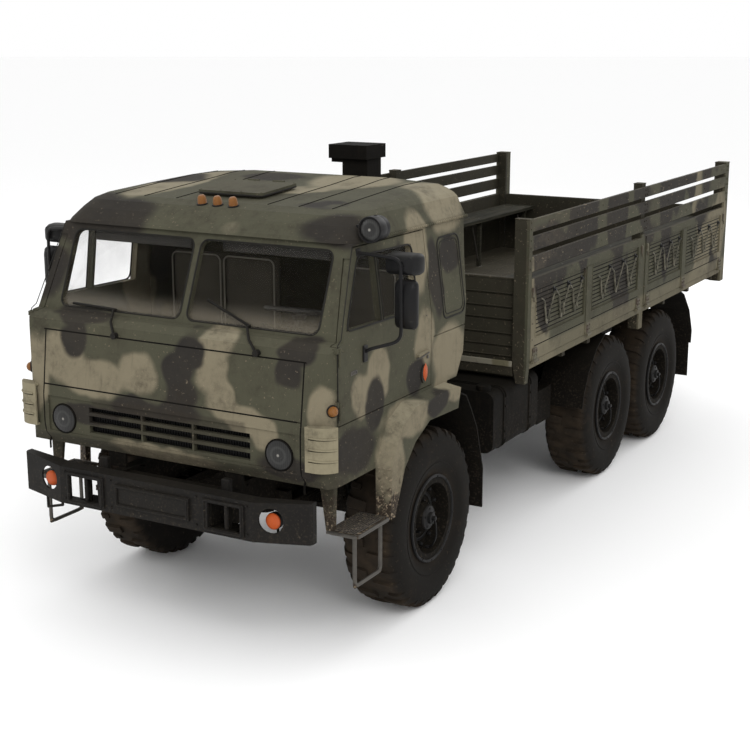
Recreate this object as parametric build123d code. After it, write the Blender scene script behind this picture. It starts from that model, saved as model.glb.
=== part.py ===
from build123d import *
import math
import os

os.makedirs("parts", exist_ok=True)

# Sizes are millimetres. The drawing is made with y = 0 on the front axle, x = 0 on the truck's
# centre line and z = 0 on the ground. Forward is -y, the truck's left is +x. ROW_SHIFT then
# centres the finished truck along y.
FRONT_END = -1460
REAR_END = 6460
ROW_SHIFT = -(FRONT_END + REAR_END) / 2

# Wheels
TYRE_R = 610
TRACK_HALF = 1025
MID_AXLE = 3340
REAR_AXLE = 4660
KINGPIN_X = 930
HUB_Z = TYRE_R

# Cab
CAB_HALF = 1165
WAIST_Z = 2000
EAVE_Z = 2552
LEAN = 73  # how far each side of the cab leans in, from waist to eave
EAVE_HALF = CAB_HALF - LEAN
WALL = 46
PLAN_CORNER_R = 165
DOOR_GAP = 7
DOOR_FRONT = -1158
DOOR_REAR = 30
DOOR_BOTTOM = 1515
HINGE_X = CAB_HALF + 11
SPAN = CAB_HALF + 135  # past the cab's widest point, where cuts end
SKIN_IN = CAB_HALF - 215  # inboard of a side wall, where its cuts start
HINGE_Y = -1150

# Cargo bed
BED_HALF = 1275
BED_FRONT = 1345
BED_REAR = 6455
PANEL_HALF = BED_HALF - 115
BOARD_T = 46
BOARD_TOP = 2011
FLOOR_TOP = 1420
FLOOR_T = 50
SIDE_HINGE_X = BED_HALF + 14
SIDE_HINGE_Z = 1394
CENTRE_POST_Y = 3890
CENTRE_POST_W = 96
RACK_TOP = 2452
BENCH_TOP = 1907
BENCH_IN = BED_HALF - 473

# Chassis
RAIL_X = 400
RAIL_W = 80
RAIL_BOTTOM = 800
RAIL_TOP = 1050
RAIL_T = 12


def box(x0, x1, y0, y1, z0, z1):
    return Pos((x0 + x1) / 2, (y0 + y1) / 2, (z0 + z1) / 2) * Box(x1 - x0, y1 - y0, z1 - z0)


def prism_x(points, x0, x1):
    face = make_face(Polyline(*[(0, y, z) for y, z in points], close=True))
    return Pos(x0, 0, 0) * extrude(face, amount=x1 - x0, dir=(1, 0, 0))


def prism_y(points, y0, y1):
    face = make_face(Polyline(*[(x, 0, z) for x, z in points], close=True))
    return Pos(0, y0, 0) * extrude(face, amount=y1 - y0, dir=(0, 1, 0))


def prism_z(points, z0, z1):
    face = make_face(Polyline(*[(x, y, 0) for x, y in points], close=True))
    return Pos(0, 0, z0) * extrude(face, amount=z1 - z0, dir=(0, 0, 1))


def rod_x(x0, x1, y, z, r):
    return Pos((x0 + x1) / 2, y, z) * Rot(0, 90, 0) * Cylinder(r, x1 - x0)


def rod_y(x, y0, y1, z, r):
    return Pos(x, (y0 + y1) / 2, z) * Rot(90, 0, 0) * Cylinder(r, y1 - y0)


def rod_z(x, y, z0, z1, r):
    return Pos(x, y, (z0 + z1) / 2) * Cylinder(r, z1 - z0)


def ring_x(profile, y, z):
    # revolves (x, radius) points about the x axis line through (y, z)
    face = make_face(Polyline(*[(x, 0, r) for x, r in profile], close=True))
    return Pos(0, y, z) * revolve(face, Axis.X)


def tube(points, r, bend):
    path = FilletPolyline(*points, radius=bend)
    return sweep(Plane(path @ 0, z_dir=path % 0) * Circle(r), path)


def inset(points, d):
    # moves every edge of a closed polygon inwards by d
    n = len(points)
    area = sum(points[i][0] * points[(i + 1) % n][1] - points[(i + 1) % n][0] * points[i][1] for i in range(n))
    turn = 1 if area > 0 else -1
    lines = []
    for i in range(n):
        (ax, ay), (bx, by) = points[i], points[(i + 1) % n]
        long = math.hypot(bx - ax, by - ay)
        nx, ny = -turn * (by - ay) / long, turn * (bx - ax) / long
        lines.append((nx, ny, nx * ax + ny * ay + d))
    out = []
    for i in range(n):
        a1, b1, c1 = lines[i - 1]
        a2, b2, c2 = lines[i]
        det = a1 * b2 - a2 * b1
        out.append(((c1 * b2 - c2 * b1) / det, (a1 * c2 - a2 * c1) / det))
    return out


def both(shape):
    return [shape, mirror(shape, about=Plane.YZ)]


def fuse(*shapes):
    out = shapes[0]
    for shape in shapes[1:]:
        out = out + shape
    return out


def cut(shape, *tools):
    for tool in tools:
        shape = shape - tool
    return shape


PARTS = {}


def keep(name, *shapes):
    solids = []
    for shape in shapes:
        solids.extend(shape.solids())
    PARTS[name] = solids


# ---------------------------------------------------------------- cab shell
# (y, z) outline seen from the side, (x, z) outline seen from the front
CAB_SIDE = [
    (-1224, 1150), (-1240, 1182), (-1276, 1226), (-1286, 1290), (-1284, 1480), (-1274, 1549),
    (-1229, 1900), (-1212, 1962), (-1146, 2000), (-1091, 2006), (-866, EAVE_Z), (628, EAVE_Z),
    (578, 2290), (522, 1850), (502, 1650), (405, 1495), (-379, 1495), (-542, 1425), (-633, 1309),
    (-712, 1150),
]
CAB_FRONT = [
    (-CAB_HALF, 1100), (-CAB_HALF, WAIST_Z), (-EAVE_HALF, EAVE_Z + 1),
    (EAVE_HALF, EAVE_Z + 1), (CAB_HALF, WAIST_Z), (CAB_HALF, 1100),
]


def cab_block(depth):
    side = prism_x(inset(CAB_SIDE, depth) if depth else CAB_SIDE, -SPAN, SPAN)
    front = prism_y(inset(CAB_FRONT, depth) if depth else CAB_FRONT, -1400, 800)
    half = CAB_HALF - depth
    plan = make_face(Polyline((-half, -1286 + depth), (half, -1286 + depth), (half, 800), (-half, 800),
        close=True))
    corners = plan.vertices().sort_by(Axis.Y)[:2]
    plan = fillet(corners, PLAN_CORNER_R - depth)
    return side & front & (Pos(0, 0, 1000) * extrude(plan, amount=1700, dir=(0, 0, 1)))


outer = cab_block(0)
inner = cab_block(WALL)
shell = outer - inner

# door outline (y, z): straight up to the waist, then along the windscreen pillar
DOOR = [
    (DOOR_FRONT, DOOR_BOTTOM), (DOOR_FRONT, 2010), (-1112, 2030), (-868, 2536), (DOOR_REAR, 2536),
    (DOOR_REAR, DOOR_BOTTOM),
]
DOOR_GLASS = [(-1046, 2066), (-826, 2476), (-150, 2466), (-150, 2050)]
# a door is one wall thick, so the pillar skin inside it stays with the cab
door_hole = prism_x(DOOR, SKIN_IN, SPAN) - prism_y(inset(CAB_FRONT, WALL + DOOR_GAP), -1400, 800)
door_core = prism_x(inset(DOOR, DOOR_GAP), SKIN_IN, SPAN) - prism_y(inset(CAB_FRONT, WALL), -1400, 800)
door_skin = shell & door_core
door_left = door_skin - prism_x(DOOR_GLASS, SKIN_IN, SPAN)
quarter_bar = door_skin & prism_x([(-622, 2040), (-622, 2500), (-598, 2500), (-598, 2040)], SKIN_IN, SPAN)
glass_slab = cab_block(18) - cab_block(25)
door_glass = (glass_slab & prism_x(DOOR_GLASS, SKIN_IN, SPAN)) - quarter_bar - prism_y(inset(CAB_FRONT,
    26), -1400, 800)
door_left = door_left + quarter_bar
door_left = door_left + box(CAB_HALF - 5, CAB_HALF + 21, -178, -26, 1744, 1762)
door_left = door_left + fuse(
    rod_z(HINGE_X, HINGE_Y, 1560, 1640, 9), rod_z(HINGE_X, HINGE_Y, 1880, 1960, 9),
    box(CAB_HALF - 7, HINGE_X, -1149, -1110, 1560, 1640), box(CAB_HALF - 7, HINGE_X, -1149, -1110, 1880,
        1960),
)
REFLECTOR = (-71, 1614)
reflector = Pos(CAB_HALF, REFLECTOR[0], REFLECTOR[1]) * Rot(0, 90, 0) * extrude(Ellipse(63, 50), amount=9)

door_left = door_left + reflector

# windscreen opening, cut square to its own plane
SCREEN_BOTTOM = Vector(0, -1079, 2030)
SCREEN_TOP = Vector(0, -882, 2512)
SCREEN_RISE = (SCREEN_TOP - SCREEN_BOTTOM).normalized()
SCREEN_H = (SCREEN_TOP - SCREEN_BOTTOM).length
SCREEN_PLANE = Plane(
    origin=SCREEN_BOTTOM + SCREEN_RISE * (SCREEN_H / 2), x_dir=(1, 0, 0),
    z_dir=(0, -SCREEN_RISE.Z, SCREEN_RISE.Y),
)
pane = Pos(505, 0) * RectangleRounded(965, SCREEN_H, 55)
pane_pair = pane + Pos(-505, 0) * RectangleRounded(965, SCREEN_H, 55)
screen_hole = extrude(SCREEN_PLANE * pane_pair, amount=120, both=True)
screen_glass = glass_slab & screen_hole

# front panel: recessed headlamp panel, grille slots, joint lines
GRILLE_ROWS = [(1264, 1312), (1332, 1378), (1398, 1433)]  # z from, z to
GRILLE_DIVIDERS = (-197, 197)
HEADLAMP = (827, 1332, 97)  # x, z, radius
recess = box(-947, 947, -1400, -1272, 1242, 1476)
slots = []
for z0, z1 in GRILLE_ROWS:
    xs = [-627, GRILLE_DIVIDERS[0], GRILLE_DIVIDERS[1], 627]
    for i in range(3):
        slots.append(box(xs[i] + 7, xs[i + 1] - 7, -1400, -1180, z0, z1))
lamp_holes = [rod_y(s * HEADLAMP[0], -1400, -1200, HEADLAMP[1], HEADLAMP[2] + 3) for s in (-1, 1)]
SEAM_W = 7
SEAM_D = 9
seam_ring = cab_block(0) - cab_block(SEAM_D)
seams = fuse(
    box(185 - CAB_HALF, CAB_HALF - 185, -1400, -1180, 1545, 1545 + SEAM_W),
    box(165 - CAB_HALF, CAB_HALF - 165, -1400, -1180, 1897, 1897 + SEAM_W),
    *both(box(CAB_HALF - 185, CAB_HALF - 185 + SEAM_W, -1400, -1180, 1100, 1900)),
    *both(box(CAB_HALF - 165, SPAN, 60, 900, 1830, 1830 + SEAM_W)),
) & seam_ring

shell = cut(shell, *both(door_hole), screen_hole, recess & cab_block(0), *slots, *lamp_holes)
shell = shell - seams

# the shell parts where its panels meet: front, floor pan, rear with the sleeper sides
floor_zone = prism_x([(-1190, 1100), (-1190, 1200), (-735, 1200), (-560, 1478), (-440, 1545),
    (20, 1545), (360, 1545), (360, 1440), (0, 1100)], -(CAB_HALF - WALL), CAB_HALF - WALL)
cab_floor = shell & floor_zone
shell = shell - floor_zone
front_zone = box(-SPAN, SPAN, -1400, -400, 1000, 2700)
rear_zone = box(-SPAN, SPAN, -400, 800, 1000, 2700)
cab_front = shell & front_zone
cab_rear = shell & rear_zone

door_lugs = [rod_z(HINGE_X, HINGE_Y, z, z + 30, 9) + box(CAB_HALF - 25, HINGE_X, -1178, -1152, z,
    z + 30) for z in (1641, 1961)]
for lug in door_lugs:
    cab_front = fuse(cab_front, *both(lug))
keep("cab_front", cab_front)
keep("cab_rear", cab_rear)
keep("cab_floor", cab_floor)
keep("windshield", screen_glass)
door_right = mirror(door_left, about=Plane.YZ)
keep("door_left", door_left)
keep("door_right", door_right)
keep("door_glass_left", door_glass)
keep("door_glass_right", mirror(door_glass, about=Plane.YZ))

# ---------------------------------------------------------------- roof
# (z, side half-width, front y at the centre, rear y, corner radius)
ROOF_RINGS = [
    (EAVE_Z, EAVE_HALF + 12, -896, 640, 130),
    (EAVE_Z + 22, EAVE_HALF + 4, -878, 636, 130),
    (EAVE_Z + 88, EAVE_HALF - 26, -800, 628, 140),
    (EAVE_Z + 136, EAVE_HALF - 44, -716, 620, 150),
    (EAVE_Z + 160, EAVE_HALF - 66, -610, 612, 150),
    (EAVE_Z + 186, EAVE_HALF - 107, -240, 602, 150),
    (EAVE_Z + 212, EAVE_HALF - 172, 170, 590, 130),
    (EAVE_Z + 236, EAVE_HALF - 532, 470, 570, 60),
]


def roof_ring(z, half, front, rear, corner):
    face = make_face(Polyline((-half, front, z), (half, front, z), (half, rear, z), (-half, rear, z),
        close=True))
    order = face.vertices().sort_by(Axis.Y)
    return fillet(order[:2], corner).face() if corner else face


rings = [roof_ring(*row) for row in ROOF_RINGS]
roof = loft([Plane.XY.offset(0) * ring for ring in rings], ruled=True)
roof_hollow = loft([roof_ring(z - 40, half - 40, front + 50, rear - 40, corner) for z, half, front,
    rear, corner in ROOF_RINGS[:-1]], ruled=True)
roof_under = box(42 - EAVE_HALF, EAVE_HALF - 42, -830, 590, EAVE_Z - 52, EAVE_Z + 8)
HATCH = (510, 430, 20)  # width, length, thickness
HATCH_AT = Pos(-55, -255, EAVE_Z + 204) * Rot(3.8, 0, 0)
collar = Pos(0, 0, -40) * Box(HATCH[0] - 60, HATCH[1] - 60, 80)
collar_hole = Pos(0, 0, -100) * Box(HATCH[0] - 110, HATCH[1] - 110, 260)
roof = roof + HATCH_AT * collar
roof = cut(roof, roof_hollow, roof_under, HATCH_AT * collar_hole)
keep("cab_roof", roof)
hatch = Box(*HATCH)
hatch = fillet(hatch.edges().filter_by(Axis.Z), 30)
keep("roof_hatch", HATCH_AT * Pos(0, 0, HATCH[2] / 2) * hatch)

# ---------------------------------------------------------------- cab fittings
CORNER_VENT = (CAB_HALF - 135, CAB_HALF + 49, -1312, -1226, 1268, 1542)  # x0, x1, y0, y1, z0, z1


def corner_block(x, y, radius, z0, z1):
    face = make_face(Polyline((0, y), (x, y), (x, 0), (0, 0), close=True))
    corner = face.vertices().sort_by(lambda v: v.X - v.Y)[-1]
    return Pos(0, 0, z0) * extrude(fillet(corner, radius), amount=z1 - z0, dir=(0, 0, 1))


vx0, vx1, vy0, vy1, vz0, vz1 = CORNER_VENT
vent = corner_block(vx1, vy0, 130, vz0, vz1) & box(vx0, SPAN, -1400, vy1, vz0, vz1)
vent = vent - cab_block(0) - corner_block(vx1 - 12, vy0 + 12, 118, vz0 + 12, vz1 - 12)
for z in (1330, 1398, 1466):
    vent = vent - box(vx0 + 22, vx1 - 14, -1400, vy1 - 12, z, z + 13)
keep("corner_vents", *both(vent))

headlamp = rod_y(HEADLAMP[0], -1276, -1222, HEADLAMP[1],
    HEADLAMP[2]) + (rod_y(HEADLAMP[0], -1242, -1222, HEADLAMP[1], 114) - cab_front)
SPOT = (EAVE_HALF + 88, EAVE_Z + 84)  # x, z
spot = rod_y(SPOT[0], -800, -690, SPOT[1], 74) + rod_y(SPOT[0], -690, -655, SPOT[1], 55)
spot = spot + box(EAVE_HALF - 46, SPOT[0], -735, -700, SPOT[1] - 8, SPOT[1] + 12)
keep("headlamps", *both(headlamp), spot - roof - roof_hollow)

side_lamp = box(CAB_HALF - 37, CAB_HALF + 11, -1236, -1180, 1592, 1656) - cab_block(0)
bumper_lamp = rod_y(853, -1392, -1340, 958, 50)
markers = [Pos(x, -672, EAVE_Z + 142) * Cone(30, 22, 62,
    align=(Align.CENTER, Align.CENTER, Align.MIN)) - roof - roof_hollow for x in (-120, 0, 120)]
keep("amber_lamps", *both(side_lamp), *both(bumper_lamp), *markers)


def rod(p, q, r):
    a, b = Vector(*p), Vector(*q)
    return Plane(origin=(a + b) * 0.5, z_dir=b - a) * Cylinder(r, (b - a).length)


def pipe(points, r):
    out = rod(points[0], points[1], r)
    for i in range(1, len(points) - 1):
        out = out + Pos(*points[i]) * Sphere(r) + rod(points[i], points[i + 1], r)
    return out


MIRROR_X = CAB_HALF + 197
MIRROR_PIPE = [
    (EAVE_HALF, -806, EAVE_Z - 56), (MIRROR_X - 5, -752, EAVE_Z - 82), (MIRROR_X, -752, 1978),
    (CAB_HALF + 39, -848, 1932), (CAB_HALF + 1, -848, 1908),
]
main_glass = box(MIRROR_X - 70, MIRROR_X + 78, -742, -676, 2040, 2342)
wide_glass = box(MIRROR_X - 150, MIRROR_X + 78, -742, -600, 2360, 2490)
main_glass = fillet(main_glass.edges().filter_by(Axis.Y), 30)
wide_glass = fillet(wide_glass.edges().filter_by(Axis.Y), 30)
mirror_set = fuse(
    pipe(MIRROR_PIPE, 11) - cab_block(0), box(CAB_HALF, CAB_HALF + 15, -868, -828, 1853, 1949),
    main_glass, wide_glass,
)
keep("mirror_left", mirror_set)
keep("mirror_right", mirror(mirror_set, about=Plane.YZ))


def screen_point(x, z, off):
    # a point standing off the windscreen glass
    k = (z - SCREEN_BOTTOM.Z) / (SCREEN_TOP.Z - SCREEN_BOTTOM.Z)
    return (x, SCREEN_BOTTOM.Y + k * (SCREEN_TOP.Y - SCREEN_BOTTOM.Y) - off, z)


WIPERS = [((-871, 2055), (-516, 2045), (-412, 1915)),
    ((170, 2163), (508, 2043), (657, 1924))]  # blade ends, pivot
wipers = []
for tip, root, pivot in WIPERS:
    k = (1990 - pivot[1]) / (root[1] - pivot[1])
    knee = (pivot[0] + k * (root[0] - pivot[0]), -1196, 1990)
    arm = pipe([screen_point(*root, 12), screen_point(*root, 40), knee, (pivot[0], -1246, pivot[1])], 8)
    blade = rod(screen_point(*tip, 12), screen_point(*root, 12), 9)
    wipers.append(fuse(arm, blade, rod_y(pivot[0], -1256, -1224, pivot[1], 20)) - cab_block(0))
keep("wipers", *wipers)

dash = prism_x([(-1300, 1600), (-1300, 1948), (-1040, 1948), (-880, 1926), (-852, 1880), (-872, 1790),
    (-1000, 1650)], 85 - CAB_HALF, CAB_HALF - 85) & inner
WHEEL_AXIS = Vector(0, 0.2, 0.98).normalized()
STEER_C = Vector(630, -715, 2085)
dash = dash + rod(tuple(STEER_C - WHEEL_AXIS * 330), tuple(STEER_C - WHEEL_AXIS * 60), 26) + box(602,
    658, -900, -780, 1785, 1825)
keep("dashboard", dash)
steer_plane = Plane(origin=STEER_C, x_dir=(1, 0, 0), z_dir=WHEEL_AXIS)
steering = steer_plane * (Torus(212, 14) + Pos(0, 0, -30) * Cylinder(38, 60) + Box(420, 34, 14) + Pos(0,
    -105, 0) * Box(34, 210, 14))
keep("steering_wheel", steering)

# (x0, x1) of each seat, driver first, then the double passenger seat
SEATS = [(390, 890), (-960, -60)]
seats = []
for x0, x1 in SEATS:
    seats.append(box(x0, x1, -420, 60, 1640, 1760) + box(x0, x1, 60, 180, 1640, 2250))
seats.append(box(85 - CAB_HALF, CAB_HALF - 85, 190, 408, 1600, 1730))
keep("seats", *seats)
pedestals = [box(x0 + 40, x1 - 40, -370, 20, 1540, 1640) for x0,
    x1 in SEATS] + [box(105 - CAB_HALF, CAB_HALF - 105, 210, 350, 1540, 1600)]
keep("cab_floor", fuse(cab_floor, *pedestals))

# ---------------------------------------------------------------- fenders and steps
# (y, z) band of the front fender on the cab side (inner) and at the outer lip
FENDER_IN = [(268, 1315), (302, 1465), (223, 1493), (15, 1495), (-379, 1495), (-542, 1425),
    (-633, 1309), (-712, 1150), (-705, 815), (-613, 815), (-555, 941), (-486, 1097), (-343,
    1236), (-147, 1329)]
FENDER_OUT = [(268, 1315), (306, 1450), (228, 1470), (20, 1476), (-345, 1462), (-497, 1385),
    (-585, 1275), (-652, 1130), (-668, 815), (-613, 815), (-555, 941), (-486, 1097), (-343,
    1236), (-147, 1329)]


def ring_face(points, x):
    return make_face(Polyline(*[(x, y, z) for y, z in points], close=True))


fender = loft([ring_face(FENDER_IN, CAB_HALF), ring_face(FENDER_OUT, CAB_HALF + 85)], ruled=True)
fender = fender + prism_x([(262, 1495), (-379, 1495), (-542, 1425), (-633, 1309), (-712, 1150),
    (-672, 1150), (-598, 1290), (-520, 1393), (-370, 1455), (262, 1455)], CAB_HALF - 53, CAB_HALF)
fender = fender - prism_x([(-600, 780), (-540, 960), (-440, 1125), (-330, 1272), (-120, 1372),
    (282, 1372), (282, 1432), (15, 1450), (-345, 1440), (-490, 1360), (-575, 1255), (-640, 1120), (-655,
    780)], CAB_HALF - 15, CAB_HALF + 63)
keep("front_fenders", *both(fender))

# (y, z) inner line of each mudguard sheet
GUARD_T = 12
GUARDS = [
    [(294, 1404), (330, 1400), (420, 1362), (508, 1240), (600, 1090), (706, 766), (706, 480)],
    [(3120, 1290), (2930, 1200), (2760, 1030), (2668, 860), (2640, 745)],
    [(5150, 1330), (5280, 1272), (5475, 1085), (5590, 860), (5580, 740)],
]
guards = []
for line in GUARDS:
    sign = 1 if line[0][0] < line[-1][0] else -1
    outer_line = [(y + sign * GUARD_T, z + 4) for y, z in line]
    guards.append(prism_x(line + outer_line[::-1], 832, 1232))
guards[0] = guards[0] + box(440, 840, 660, 688, 905, 930)
guards[1] = guards[1] + box(1000, 1040, 3100, 3118, 1286, FLOOR_TOP - FLOOR_T)
guards[2] = guards[2] + box(1000, 1040, 5153, 5169, 1324, FLOOR_TOP - FLOOR_T) + box(860, 1210, 5584,
    5592, 400, 750)
keep("mudguards", *both(guards[0]), *both(guards[1]), *both(guards[2]))

step = fuse(
    prism_y([(1000, 1150), (1100, 1150), (1092, 830), (1046, 830)], -1104, -1078),
    prism_x([(-1103, 1148), (-1040, 1148), (-1060, 832), (-1103, 832)], 1074, 1088),
    box(1046, 1266, -1106, -712, 828, 846),
    pipe([(1205, -1040, 836), (1205, -1040, 492), (1205, -724, 492), (1205, -724, 836)], 11),
)
keep("cab_steps", *both(step))

# ---------------------------------------------------------------- bumper
BUMPER_PLAN = [(-1100, -1340), (-1090, -1362), (-900, -1405), (-740, -1440), (740, -1440), (900, -1405),
    (1090, -1362), (1100, -1340), (1100, -1300), (740, -1330), (-740, -1330), (-1100, -1300)]
BUMPER_FACE = [(-1100, 840), (-740, 824), (740, 824), (1100, 840), (1100, 1096), (740, 1071),
    (-740, 1071), (-1100, 1096)]
BUMPER_T = 12
bumper = prism_z(BUMPER_PLAN, 800, 1110) & prism_y(BUMPER_FACE, -1500, -1200)
hollow = prism_z([(-1086, -1290), (-1086, -1352), (-898, -1392), (-739, -1428), (739, -1428),
    (898, -1392), (1086, -1352), (1086, -1290)], 800, 1110)
bumper = bumper - (hollow & prism_y(inset(BUMPER_FACE, BUMPER_T), -1500, -1200))
TOW_HOLE = (420, 655, 863, 1022)
x0, x1, z0, z1 = TOW_HOLE
frame_pad = box(x0 - 40, x1 + 28, -1452, -1440, z0 - 20, z1 + 20)
bumper = fuse(bumper, *both(frame_pad), box(-285, 285, -1460, -1440, 880, 1022))
bumper = cut(bumper, *both(box(x0, x1, -1500, -1420, z0, z1)), *both(rod_y(853, -1500, -1340, 967, 77)))
bumper = bumper - box(-262, 262, -1470, -1452, 900, 1002)
bumper = bumper + fuse(*both(box(846, 860, -1340, -1334, 832, 940)))
bumper = bumper + pipe([(-955, -1330, 836), (-955, -1330, 728), (-830, -1330, 760), (-830, -1330, 836)], 9)
keep("front_bumper", bumper)

# ---------------------------------------------------------------- frame and running gear
rails = []
for s in (-1, 1):
    rail = box(RAIL_X - 40, RAIL_X + 40, -1328, 6330, RAIL_BOTTOM, RAIL_TOP)
    rail = rail - box(RAIL_X - 40, RAIL_X + 40 - RAIL_T, -1400, 6400, RAIL_BOTTOM + RAIL_T,
        RAIL_TOP - RAIL_T)
    rails.append(rail if s > 0 else mirror(rail, about=Plane.YZ))
frame = fuse(*rails, *both(box(372, 434, -1428, -1316, 845, 1044)))
CROSS_Y = (-1230, 1700, 2900, 4000, 5200, 6290)
for y in CROSS_Y:
    frame = frame + box(-433, 433, y - 40, y + 40, 990, 1034)
tow_jaws = fuse(box(430, 600, -1424, -1290, 1024, 1040), box(430, 600, -1424, -1290, 840, 858),
    rod_z(540, -1390, 850, 1032, 17))
cab_mounts = box(385, 520, -1215, -1195, 1050, 1150) + box(380, 440, 250, 350, 1050, 1495)
frame = fuse(frame, *both(tow_jaws), *both(cab_mounts))
HITCH = (6365, 900, 22)  # y, z, bore radius
frame = frame + box(-433, 433, 6306, 6322, 842, 1010)
frame = frame + box(-60, 60, 6315, 6400, 880, 920) - rod_z(0, HITCH[0], 860, 940, HITCH[2])
keep("frame_rails", frame)

keep("engine_block", fuse(box(-330, 330, -430, 740, 900, 1430), *both(box(320, 420, -60, 60, RAIL_TOP,
    1090))))
EAR_R = 45
yoke = fuse(
    box(780, 930, -EAR_R, EAR_R, 720, 750), box(780, 930, -EAR_R, EAR_R, 470, 500), box(780, 805,
        -EAR_R, EAR_R, 470, 750),
    rod_z(KINGPIN_X, 0, 720, 750, EAR_R), rod_z(KINGPIN_X, 0, 470, 500, EAR_R),
)
front_axle = fuse(rod_x(-785, 785, 0, HUB_Z, 66), Pos(-140, 0, HUB_Z) * Sphere(180), *both(yoke),
    *both(box(450, 540, -60, 60, 640, 700)))
keep("front_axle", front_axle)
DRUM = (900, 1036, 205)  # x from, x to, radius
SEAT_X = 1045  # where the rim's disc bolts on
rear_axles = []
for y in (MID_AXLE, REAR_AXLE):
    beam = fuse(
        rod_x(-SEAT_X, SEAT_X, y, HUB_Z, 80), *both(rod_x(DRUM[0], DRUM[1], y, HUB_Z, DRUM[2])),
        rod_x(-190, 70, y, HUB_Z, 185), rod_x(-130, 10, y, HUB_Z, 215),
    )
    rear_axles.append(fuse(beam, *both(box(450, 550, y - 60, y + 60, 650, 700))))
keep("rear_axles", *rear_axles)

front_spring = fuse(
    prism_x([(-700, 806), (-700, 832), (-300, 790), (300, 790), (700, 832), (700, 806), (300, 700),
        (-300, 700)], 455, 535),
    box(440, 535, -740, -690, 806, 900), box(440, 535, 690, 740, 806, 900),
)
rear_spring = fuse(
    prism_x([(3290, 700), (3390, 700), (3700, 740), (4300, 740), (4610, 700), (4710, 700), (4710, 716),
        (4300, 880), (3700, 880), (3290, 716)], 455, 545),
    box(440, 455, 3860, 4140, 760, 960),
)
keep("leaf_springs", *both(front_spring), *both(rear_spring))

driveline = fuse(
    box(-210, 210, 740, 760, 880, 1150), rod_y(0, 750, 1560, 1000, 140), rod_y(0, 1550, 1990, 940, 40),
    box(-260, 200, 1980, 2340, 640, 980), rod_y(-140, 170, 1990, 700, 38), rod_y(-60, 2330, 3160, 690, 40),
)
bogie_shaft = rod_y(-60, 3525, 4475, 660, 38) - rear_axles[0] - rear_axles[1]
keep("driveline", driveline - front_axle - rear_axles[0], bogie_shaft)

# ---------------------------------------------------------------- tanks and boxes
TANK = (620, 1200, 945, 1750, 800, 1255)
tank = box(*TANK)
tank = fillet(tank.edges().filter_by(Axis.Y), 70)
tank = tank + fuse(*[box(440, 630, y - 25, y + 25, 860, 960) for y in (1100, 1600)])
keep("fuel_tanks", *both(tank))
side_box = box(600, 1000, 2230, 2510, 680, 956) + box(440, 610, 2300, 2440, 840, 940)
keep("side_boxes", *both(side_box))
stack = fuse(box(30, 236, 820, 1020, 1150, 2890), box(-60, 252, 780, 1060, 2880, 2978),
    box(-60, 236, 820, 1020, 2850, 2885))
stack = stack + box(30, 236, 760, 1080, 1154, 1240) + box(170, 440, 800, 1040, RAIL_TOP,
    1062) + box(170, 182, 800, 1040, RAIL_TOP, 1160)
keep("air_stack", stack)

# ---------------------------------------------------------------- cargo bed
floor = box(53 - BED_HALF, BED_HALF - 53, 1442, 6336, FLOOR_TOP - FLOOR_T, FLOOR_TOP)
for y in (1433, 2250, 2800, CENTRE_POST_Y, 4750, 5500, 6290):
    floor = floor + box(75 - BED_HALF, BED_HALF - 75, y - 30, y + 30, 1270, FLOOR_TOP - FLOOR_T)
floor = floor + fuse(
    *both(box(360, 440, 1350, 6336, RAIL_TOP, 1272)), *both(box(BED_HALF - 79, BED_HALF - 7, 1402, 6342,
        1345, 1396)),
    box(-PANEL_HALF, PANEL_HALF, 1350, 1410, 1295, 1362),
)
floor = floor + box(-PANEL_HALF, PANEL_HALF, 6320, 6384, 1345, 1396)
SIDE_SPANS = [(1409, 3835), (3945, 6335)]  # y from, y to of the front and rear drop sides
GATE_HINGE = (6405, 1394)  # y, z
for y0, y1 in SIDE_SPANS:
    for y in (y0 + 70, y1 - 70):
        for lug in both(rod_y(SIDE_HINGE_X, y - 66, y - 45.3, SIDE_HINGE_Z, 10) + box(BED_HALF - 25,
                SIDE_HINGE_X, y - 66, y - 45.3, 1384, 1394)):
            floor = floor + lug
for x in (-1000, 0, 1000):
    floor = floor + rod_x(x - 66, x - 45.3, *GATE_HINGE, 10) + box(x - 66, x - 45.3, 6370,
        GATE_HINGE[0], 1384, 1394)
post_y0 = CENTRE_POST_Y - CENTRE_POST_W / 2
post_y1 = CENTRE_POST_Y + CENTRE_POST_W / 2
floor = cut(floor, *both(box(BED_HALF - 103, BED_HALF + 25, post_y0, post_y1, 1190, 1430)))
keep("bed_floor", floor)

wall = box(5 - PANEL_HALF, PANEL_HALF - 5, 1402, 1440, 1370, 2005)
for z in (1410, 1490, 1580, 1690, 1780, 1880):
    wall = wall - box(30 - PANEL_HALF, PANEL_HALF - 30, 1395, 1412, z, z + 12)
keep("bed_front_wall", wall)

SLATS = [(2362, 2450), (2223, 2323), (2070, 2178)]  # z from, z to
rack = fuse(
    box(PANEL_HALF, BED_HALF, BED_FRONT, BED_FRONT + 57, 1395, RACK_TOP),
    prism_y([(PANEL_HALF, 1395), (BED_HALF, 1395), (BED_HALF - 13, 1240), (BED_HALF - 85, 1240)],
        BED_FRONT, BED_FRONT + 57),
    box(PANEL_HALF, BED_HALF, 6342, REAR_END, 1250, RACK_TOP + 10),
    box(BED_HALF - 103, BED_HALF - 27, post_y0, post_y1, 1200, RACK_TOP + 24),
    box(BED_HALF - 35, BED_HALF - 7, post_y0, post_y1, 1200, BOARD_TOP + 29),
)
for z0, z1 in SLATS:
    rack = rack + box(BED_HALF - 28, BED_HALF, BED_FRONT + 50, 6350, z0, z1)
keep("bed_racks", *both(rack))

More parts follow.
